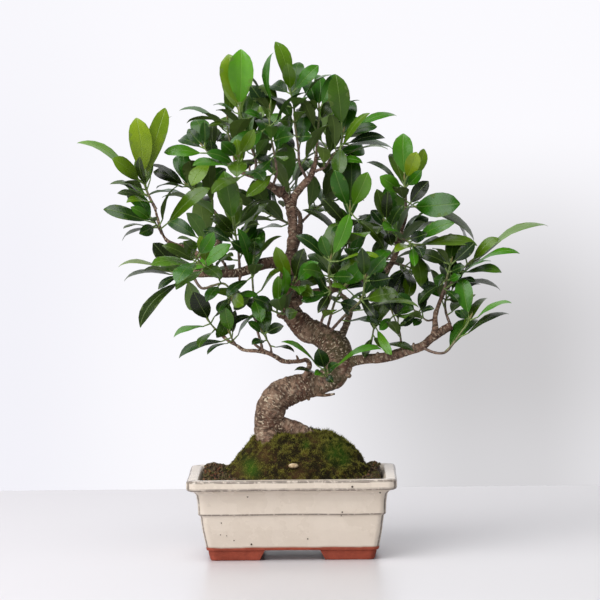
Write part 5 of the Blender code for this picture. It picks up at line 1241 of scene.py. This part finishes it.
def leaf_surfaces(leaves, chance):
    """Leaves as eight-cornered sections carried along a stalk and an arched blade. The blade's half width is
    a power of the way up times a power of the way left, its halves rise in a shallow V with their edges
    rolled down and a little wavy, and its lower side follows about half a millimetre under the upper one."""
    start, tip, normal = (np.array([list(leaf[k]) for leaf in leaves]) for k in (0, 1, 3))
    width, edge_on, tone = (np.array([leaf[k] for leaf in leaves], float) for k in (2, 4, 5))
    length = np.linalg.norm(tip - start, axis=1)
    along = (tip - start) / length[:, None]
    normal = unit(normal - along * np.sum(normal * along, axis=1, keepdims=True))
    side = np.cross(normal, along)
    petiole = np.minimum(LONGEST_STALK, STALK_SHARE * length)
    blade = length - petiole
    count = len(leaves)
    fold = (0.30 - 0.14 * edge_on) * (0.6 + 0.8 * chance.random(count))
    curl = 0.10 + 0.10 * chance.random(count)
    bow = 0.05 * (chance.random(count) - 0.5) * length
    phase = math.tau * chance.random(count)
    wave = 0.05 + 0.05 * chance.random(count)
    fold, curl, phase, wave = (value[:, None, None] for value in (fold, curl, phase, wave))
    v = np.array([-1, -0.5, 0, 0.5, 1, 0.5, 0, -0.5])  # across the blade, over its face and back under it
    under = np.array([0, 0, 0, 0, 0, 1, 1, 1.0])
    a = BLADE_AT[None, :]
    blunt = 0.72 - 0.016 * tone[:, None]
    widest = 0.87 / (0.87 + blunt)
    share = a**0.87 * (1 - a) ** blunt / (widest**0.87 * (1 - widest) ** blunt)
    share = share * (1 - 0.3 * np.clip((a - 0.9) / 0.08, 0, 1)) + 0.012
    half = (width[:, None] * 0.5 * share)[..., None]
    lift = leaf_arch(blade[:, None], edge_on[:, None], a)
    sway = bow[:, None] * np.sin(math.pi * a)
    centre = (start[:, None] + along[:, None] * (petiole[:, None] + blade[:, None] * a)[..., None]
              + normal[:, None] * lift[..., None] + side[:, None] * sway[..., None])
    rise = half * (fold * np.abs(v) - curl * v**2)
    rise = rise + half * wave * v**2 * np.sin(9.0 * a[..., None] + 2.2 * v + phase)
    thick = np.where(v == 0, 0.55 + 0.55 * (1 - a[..., None]), 0.34) * under * np.clip(half, 0.3, 1)
    sections = (centre[:, :, None] + side[:, None, None] * (half * v)[..., None]
                + normal[:, None, None] * (rise - thick)[..., None])
    ring = np.array([180, 135, 90, 45, 0, -45, -90, -135]) * math.pi / 180
    stalk_centre = start[:, None] + along[:, None] * (petiole[:, None] * STALK_AT)[..., None]
    stalk_radius = 0.72 + 0.12 * (1 - STALK_AT)[:, None]
    stalk = (stalk_centre[:, :, None] + side[:, None, None] * (stalk_radius * np.cos(ring))[None, ..., None]
             + normal[:, None, None] * (stalk_radius * np.sin(ring))[None, ..., None])
    shape = np.concatenate([stalk, sections], 1)
    shape[..., 1] = np.maximum(shape[..., 1], FOREMOST)
    rows = shape.shape[1]
    place = np.zeros((count, rows, 8, 3))
    place[:, len(STALK_AT):, :, 0] = (blade[:, None] * a)[..., None]
    place[:, len(STALK_AT):, :, 1] = half * v
    place[..., 2] = phase * 31
    one = grid_faces(rows, 8)
    row, column = np.divmod(np.arange(len(one)), 8)
    kind = np.where(row < len(STALK_AT), 0, np.where(column < 4, 1, 2))
    ends = np.stack([np.arange(8), np.arange(8) + (rows - 1) * 8])
    return (shape.reshape(-1, 3), place.reshape(-1, 3), np.repeat(tone, rows * 8),
            repeated(one, count, rows * 8), repeated(ends, count, rows * 8),
            np.concatenate([np.tile(kind, count), np.tile([0, 1], count)]))


def twig_tube(points, radius):
    """A green-tipped twig on a smooth line, a little swollen at its nodes, ending in a pointed bud."""
    points = [np.array(p) for p in points]
    line = [points[0] - unit(points[1] - points[0]) * 3.0] + points
    radii = [radius * 1.25] + list(radius * (1 - 0.45 * np.linspace(0, 1, len(points))))
    fine, at = grown_line(np.column_stack([line, radii]), 1.3)
    end_heading = unit(fine[-1, :3] - fine[-2, :3])
    bud_at = np.array([0.8, 2.2, 4.2, 6.2, 7.6])
    bud_radius = fine[-1, 3] * np.array([1.15, 1.3, 1.0, 0.5, 0.12])
    bud = np.column_stack([fine[-1, :3] + end_heading * bud_at[:, None], bud_radius])
    fine[:, 3] *= 1 + 0.14 * np.clip(np.cos(at * math.tau / 7.5 + radius * 9), 0, 1) ** 4
    rows = np.concatenate([fine, bud])
    side, up = carried_frames(rows[:, :3])
    turn = np.linspace(0, math.tau, TWIG_SIDES, endpoint=False)
    ring = side[:, None] * np.cos(turn)[None, :, None] + up[:, None] * np.sin(turn)[None, :, None]
    shape = rows[:, None, :3] + ring * rows[:, 3][:, None, None]
    green = np.concatenate([np.clip((at / at[-1] - 0.25) / 0.75, 0, 1) ** 1.4, np.ones(len(bud))])
    bud_mark = np.concatenate([np.zeros(len(fine)), [0.3, 1, 1, 1, 1]])
    return (shape.reshape(-1, 3), np.repeat(green, TWIG_SIDES), np.repeat(bud_mark, TWIG_SIDES),
            capped_grid(len(rows), TWIG_SIDES))


def leaf_finish(name, underside):
    """A leaf coloured by its tone, from near black-green to yellow-green, some a purer green than others,
    with a pale midrib and faint side veins."""
    finish, tree, shader = new_finish(name, *((0.5, 0.22) if underside else (0.25, 0.33)))
    where = own_place(tree)
    tone = read_mark(tree, "tone")
    place = read_mark(tree, "leaf_place", "Vector")
    parts = add_node(tree, "SeparateXYZ", {"Vector": place}).outputs
    cloud = span(fine_noise(where, 18, 3.0, 0.55), 0.25, 0.75, -0.6, 0.6)
    tone = times(tone, cloud, "ADD")
    stops = [(0.0, (0.006, 0.012, 0.002)), (2.5, (0.019, 0.036, 0.003)), (5.0, (0.053, 0.114, 0.003)),
             (7.5, (0.100, 0.184, 0.005)), (9.3, (0.185, 0.270, 0.010))]
    colour = stops[0][1]
    for (low, _), (high, reached) in zip(stops, stops[1:]):
        share = add_node(tree, "MapRange", {"Value": tone, "From Min": low, "From Max": high})
        colour = blend_colours(share.outputs["Result"], colour, reached)
    own = add_node(tree, "Math", {0: parts["Z"]}, operation="SINE").outputs[0]
    purer = {0: span(own, -0.9, 0.7), 6: colour, 7: (0.48, 1.0, 1.0, 1.0)}
    colour = add_node(tree, "Mix", purer, data_type="RGBA", blend_type="MULTIPLY").outputs[2]
    if underside:
        colour = blend_colours(0.45, colour, (0.10, 0.14, 0.035))
    off = add_node(tree, "Math", {0: parts["Y"]}, operation="ABSOLUTE").outputs[0]
    rib = span(off, 0.15, 0.65, 1.0, 0.0)
    slant = times(times(parts["X"], 0.30), times(off, -0.22), "ADD")
    vein = add_node(tree, "Math", {0: times(slant, math.tau)}, operation="SINE").outputs[0]
    vein = span(vein, 0.75, 1.0)
    colour = stain(colour, vein, 0.05, (0.20, 0.30, 0.05))
    colour = stain(colour, rib, 0.27, (0.20, 0.30, 0.06))
    tree.links.new(colour, shader.inputs["Base Color"])
    height = times(times(vein, -0.14), times(rib, 0.9 if underside else -0.8), "ADD")
    height = times(height, times(fine_noise(where, 5, 2.0), 0.4), "ADD")
    raise_surface(shader, height, 0.22)
    return finish


def twig_finish():
    """Young bark turning green toward the tip, with a reddish bud."""
    finish, tree, shader = new_finish("twig", 0.6)
    where = own_place(tree)
    green = read_mark(tree, "green")
    bud = read_mark(tree, "bud")
    mottle = fine_noise(where, 2.5, 3.0, 0.6)
    brown = blend_colours(span(mottle, 0.35, 0.65), (0.065, 0.036, 0.026), (0.22, 0.145, 0.105))
    fresh = blend_colours(span(mottle, 0.3, 0.7), (0.10, 0.17, 0.035), (0.20, 0.28, 0.07))
    colour = blend_colours(green, brown, fresh)
    colour = stain(colour, bud, 0.55, (0.24, 0.13, 0.06))
    tree.links.new(colour, shader.inputs["Base Color"])
    raise_surface(shader, mottle, 0.35)
    return finish


standing = Standing()
trunk_rows = smooth_path(TRUNK, 46)
standing.add("trunk", *plain_tube(trunk_rows, WOOD_SIDES))
wood = {"trunk": [trunk_rows]}
for name, branches in LIMBS.items():
    lines = []
    for base_radius, tip_radius, path in branches:
        count = max(6, round(sum((Vector(a) - Vector(b)).length for a, b in zip(path, path[1:])) / 9))
        taper = (tip_radius - base_radius) / (len(path) - 1)
        lines.append(smooth_path([(*p, base_radius + taper * j) for j, p in enumerate(path)], count))
        standing.add(name, *plain_tube(lines[-1], LIMB_SIDES))
    wood[name] = lines
stems = []
for name, carrier, radius, path, listed, fill in SHOOTS:
    points = shoot_start(wood[carrier], path, radius)
    rows = stem_rows(points, radius, len(listed) + fill)
    standing.add(name + " stem", *plain_tube(rows, STEM_SIDES))
    stems.append((points, rows))
free_sides = []  # the faces at the nodes, each of which may carry one leaf
for _, rows in stems:
    verts, faces = plain_tube(rows, STEM_SIDES)
    sides = {}
    for k, face in enumerate(faces[:-2]):
        if k // STEM_SIDES % 2:
            corners = [verts[j] for j in face]
            facing = (corners[1] - corners[0]).cross(corners[3] - corners[0]).normalized()
            sides[k] = (sum(corners, Vector()) / 4, facing, corners)
    free_sides.append(sides)
foliage = [place_leaves(shoot[0], listed_leaves(shoot, rows), sides, standing)
           for shoot, (_, rows), sides in zip(SHOOTS, stems, free_sides)]
for shoot, (_, rows), sides, leaves in zip(SHOOTS, stems, free_sides, foliage):
    leaves += place_leaves(shoot[0], filling_leaves(shoot, rows), sides, standing)
standing.items = [item for item in standing.items if not item[0].endswith(" leaf")]
for shoot, leaves in zip(SHOOTS, foliage):
    for k, (start, tip, width, normal, edge_on, tone) in enumerate(leaves):
        standing.add(f"{shoot[0]} leaf {k}", *ring_solid(leaf_rings(start, tip, width, normal, edge_on)))
for shoot, leaves in zip(SHOOTS, foliage):
    for k, leaf in enumerate(leaves):
        leaves[k] = full_width(leaf, standing, f"{shoot[0]} leaf {k}")

finishes = (twig_finish(), leaf_finish("leaf_face", False), leaf_finish("leaf_underside", True))
chance = np.random.default_rng(5)
for (name, _, radius, _, _, _), (points, rows), leaves in zip(SHOOTS, stems, foliage):
    shape, green, bud, groups = twig_tube(points, radius)
    leaf_points, place, tone, faces, ends, kind = leaf_surfaces(leaves, chance)
    first = len(shape)
    stem_faces = sum(len(group) for group in groups)
    groups += [faces + first, ends + first]
    piece = make_piece("leaves_of_" + name, np.concatenate([shape, leaf_points]), groups, {
        "green": np.concatenate([green, np.ones(len(leaf_points))]),
        "bud": np.concatenate([bud, np.zeros(len(leaf_points))]),
        "tone": np.concatenate([np.full(first, 5.0), tone]),
        "leaf_place": np.concatenate([np.zeros((first, 3)), place])}, sharp=62)
    for finish in finishes:
        piece.data.materials.append(finish)
    kind = np.concatenate([np.zeros(stem_faces, int), kind])
    piece.data.polygons.foreach_set("material_index", kind.astype(np.int32))
    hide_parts(name)
    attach(piece, "root")

# ---------------------------------------------------------------------------------------------------
# Stage: a white table, and far behind it a sheet of white paper that glows, painted light standing in for a
# brightly lit wall. It is dimmer toward its left edge and carries one soft grey painted shadow of the tree
# low on the right. The light is a big soft window at the upper left and a softer one overhead.
TABLE_BACK, TABLE_REACH = 561.0, 5000.0
PAPER_BACK, PAPER_REACH, PAPER_LOW = 6000.0, 9000.0, -3000.0
HEART_OF_TREE = Vector((0, 0, 0.25))  # in metres, as the lamps' own places are


def table_finish():
    """White laminate, faintly cloudy, with painted shade: greyer toward its right and a little darker toward
    its near side.
    """
    finish, tree, shader = new_finish("white_table_with_painted_shade", 0.3)
    where = own_place(tree)
    parts = add_node(tree, "SeparateXYZ", {"Vector": where}).outputs
    cloud = times(fine_noise(where, 150, 3.0), 0.04)
    across = span(times(parts["X"], cloud, "ADD"), -0.3, 0.35)
    # painted shade: the table is greyer toward its right
    colour = blend_colours(across, (0.670, 0.649, 0.670), (0.615, 0.602, 0.611))
    # painted shade: a little darker toward the near side
    near = span(parts["Y"], -0.45, 0.45, 0.03, 0.0)
    tree.links.new(blend_colours(near, colour, (0.0, 0.0, 0.0)), shader.inputs["Base Color"])
    return finish


def paper_finish():
    """Glowing paper, painted light standing in for a lit wall: dimmer toward its left edge, most of all low
    down (painted fall-off of the light), and greyer and warmer in an area low and right of the middle (a
    painted soft shadow of the tree).
    """
    finish, tree, shader = new_finish("glowing_paper_with_painted_shadow", 0.9, 0.0)
    shader.inputs["Base Color"].default_value = (0, 0, 0, 1)
    parts = add_node(tree, "SeparateXYZ", {"Vector": own_place(tree)}).outputs
    # painted fall-off of the light: dimmer toward the left edge, most of all low down
    edge = times(span(parts["X"], -0.80, -0.37, 1.0, 0.0),
                 span(parts["Z"], -0.17, 0.57, 1.0, 0.4))
    glow = blend_colours(edge, (0.965, 0.957, 0.995), (0.900, 0.893, 0.951))
    # painted soft shadow of the tree on the paper, low and right of the middle, greyer and warmer
    shadow_side = times(span(parts["X"], -0.26, 0.36), span(parts["X"], 0.50, 0.72, 1.0, 0.73))
    shadow_low = times(span(parts["Z"], -0.28, 0.27, 1.0, 0.0),
                  span(parts["Z"], -0.61, -0.34, 0.81, 1.0))
    painted_tree_shadow = times(times(shadow_side, shadow_low), 0.55)
    tree.links.new(blend_colours(painted_tree_shadow, glow, (0.295, 0.283, 0.275)), shader.inputs["Emission Color"])
    shader.inputs["Emission Strength"].default_value = 1.0
    return finish


table = make_piece("table", [
    (-TABLE_REACH, -TABLE_REACH, 0), (TABLE_REACH, -TABLE_REACH, 0),
    (TABLE_REACH, TABLE_BACK, 0), (-TABLE_REACH, TABLE_BACK, 0)], [[(0, 1, 2, 3)]], closed=False)
paper = make_piece("paper", [
    (-PAPER_REACH, PAPER_BACK, PAPER_LOW), (PAPER_REACH, PAPER_BACK, PAPER_LOW),
    (PAPER_REACH, PAPER_BACK, PAPER_REACH), (-PAPER_REACH, PAPER_BACK, PAPER_REACH)],
    [[(0, 1, 2, 3)]], closed=False)
table.data.materials.append(table_finish())
paper.data.materials.append(paper_finish())


def soft_light(name, place, size, power):
    """A square area light at a place in metres, aimed at the middle of the tree."""
    lamp = bpy.data.lights.new(name, "AREA")
    lamp.shape = "SQUARE"
    lamp.size = size
    lamp.energy = power
    item = bpy.data.objects.new(name, lamp)
    item.location = place
    item.rotation_euler = (HEART_OF_TREE - Vector(place)).to_track_quat("-Z", "Y").to_euler()
    bpy.context.scene.collection.objects.link(item)


soft_light("overhead", (-0.5, -0.8, 2.4), 2.0, 46)
soft_light("window", (-1.9, -2.3, 1.75), 2.8, 102)
bpy.context.scene.view_settings.view_transform = "Standard"
world = bpy.data.worlds.new("room")
world.use_nodes = True
world.node_tree.nodes["Background"].inputs["Color"].default_value = (0.97, 0.97, 1.0, 1.0)
world.node_tree.nodes["Background"].inputs["Strength"].default_value = 0.25
bpy.context.scene.world = world

# ---------------------------------------------------------------------------------------------------
# Camera: a long lens four metres in front of the pot and as high as the crown, looking a little down
# and rolled a hair.
CAMERA_AT = Vector((47.0, -4100.0, 546.0))
LOOKS_AT = Vector((8.0, 0.0, 255.2))
ROLL = math.radians(0.62)
ahead = (LOOKS_AT - CAMERA_AT).normalized()
right = ahead.cross(Vector((0, 0, 1))).normalized()
up = right.cross(ahead)
right, up = right * math.cos(ROLL) - up * math.sin(ROLL), right * math.sin(ROLL) + up * math.cos(ROLL)
lens = bpy.data.cameras.new("camera")
lens.lens = 246.0
lens.sensor_width = 36.0
camera = bpy.data.objects.new("camera", lens)
place = CAMERA_AT * 0.001 + Vector(POT_MIDDLE)
camera.matrix_world = Matrix([(right.x, up.x, -ahead.x, place.x), (right.y, up.y, -ahead.y, place.y),
                              (right.z, up.z, -ahead.z, place.z), (0, 0, 0, 1)])
bpy.context.scene.collection.objects.link(camera)
bpy.context.scene.camera = camera
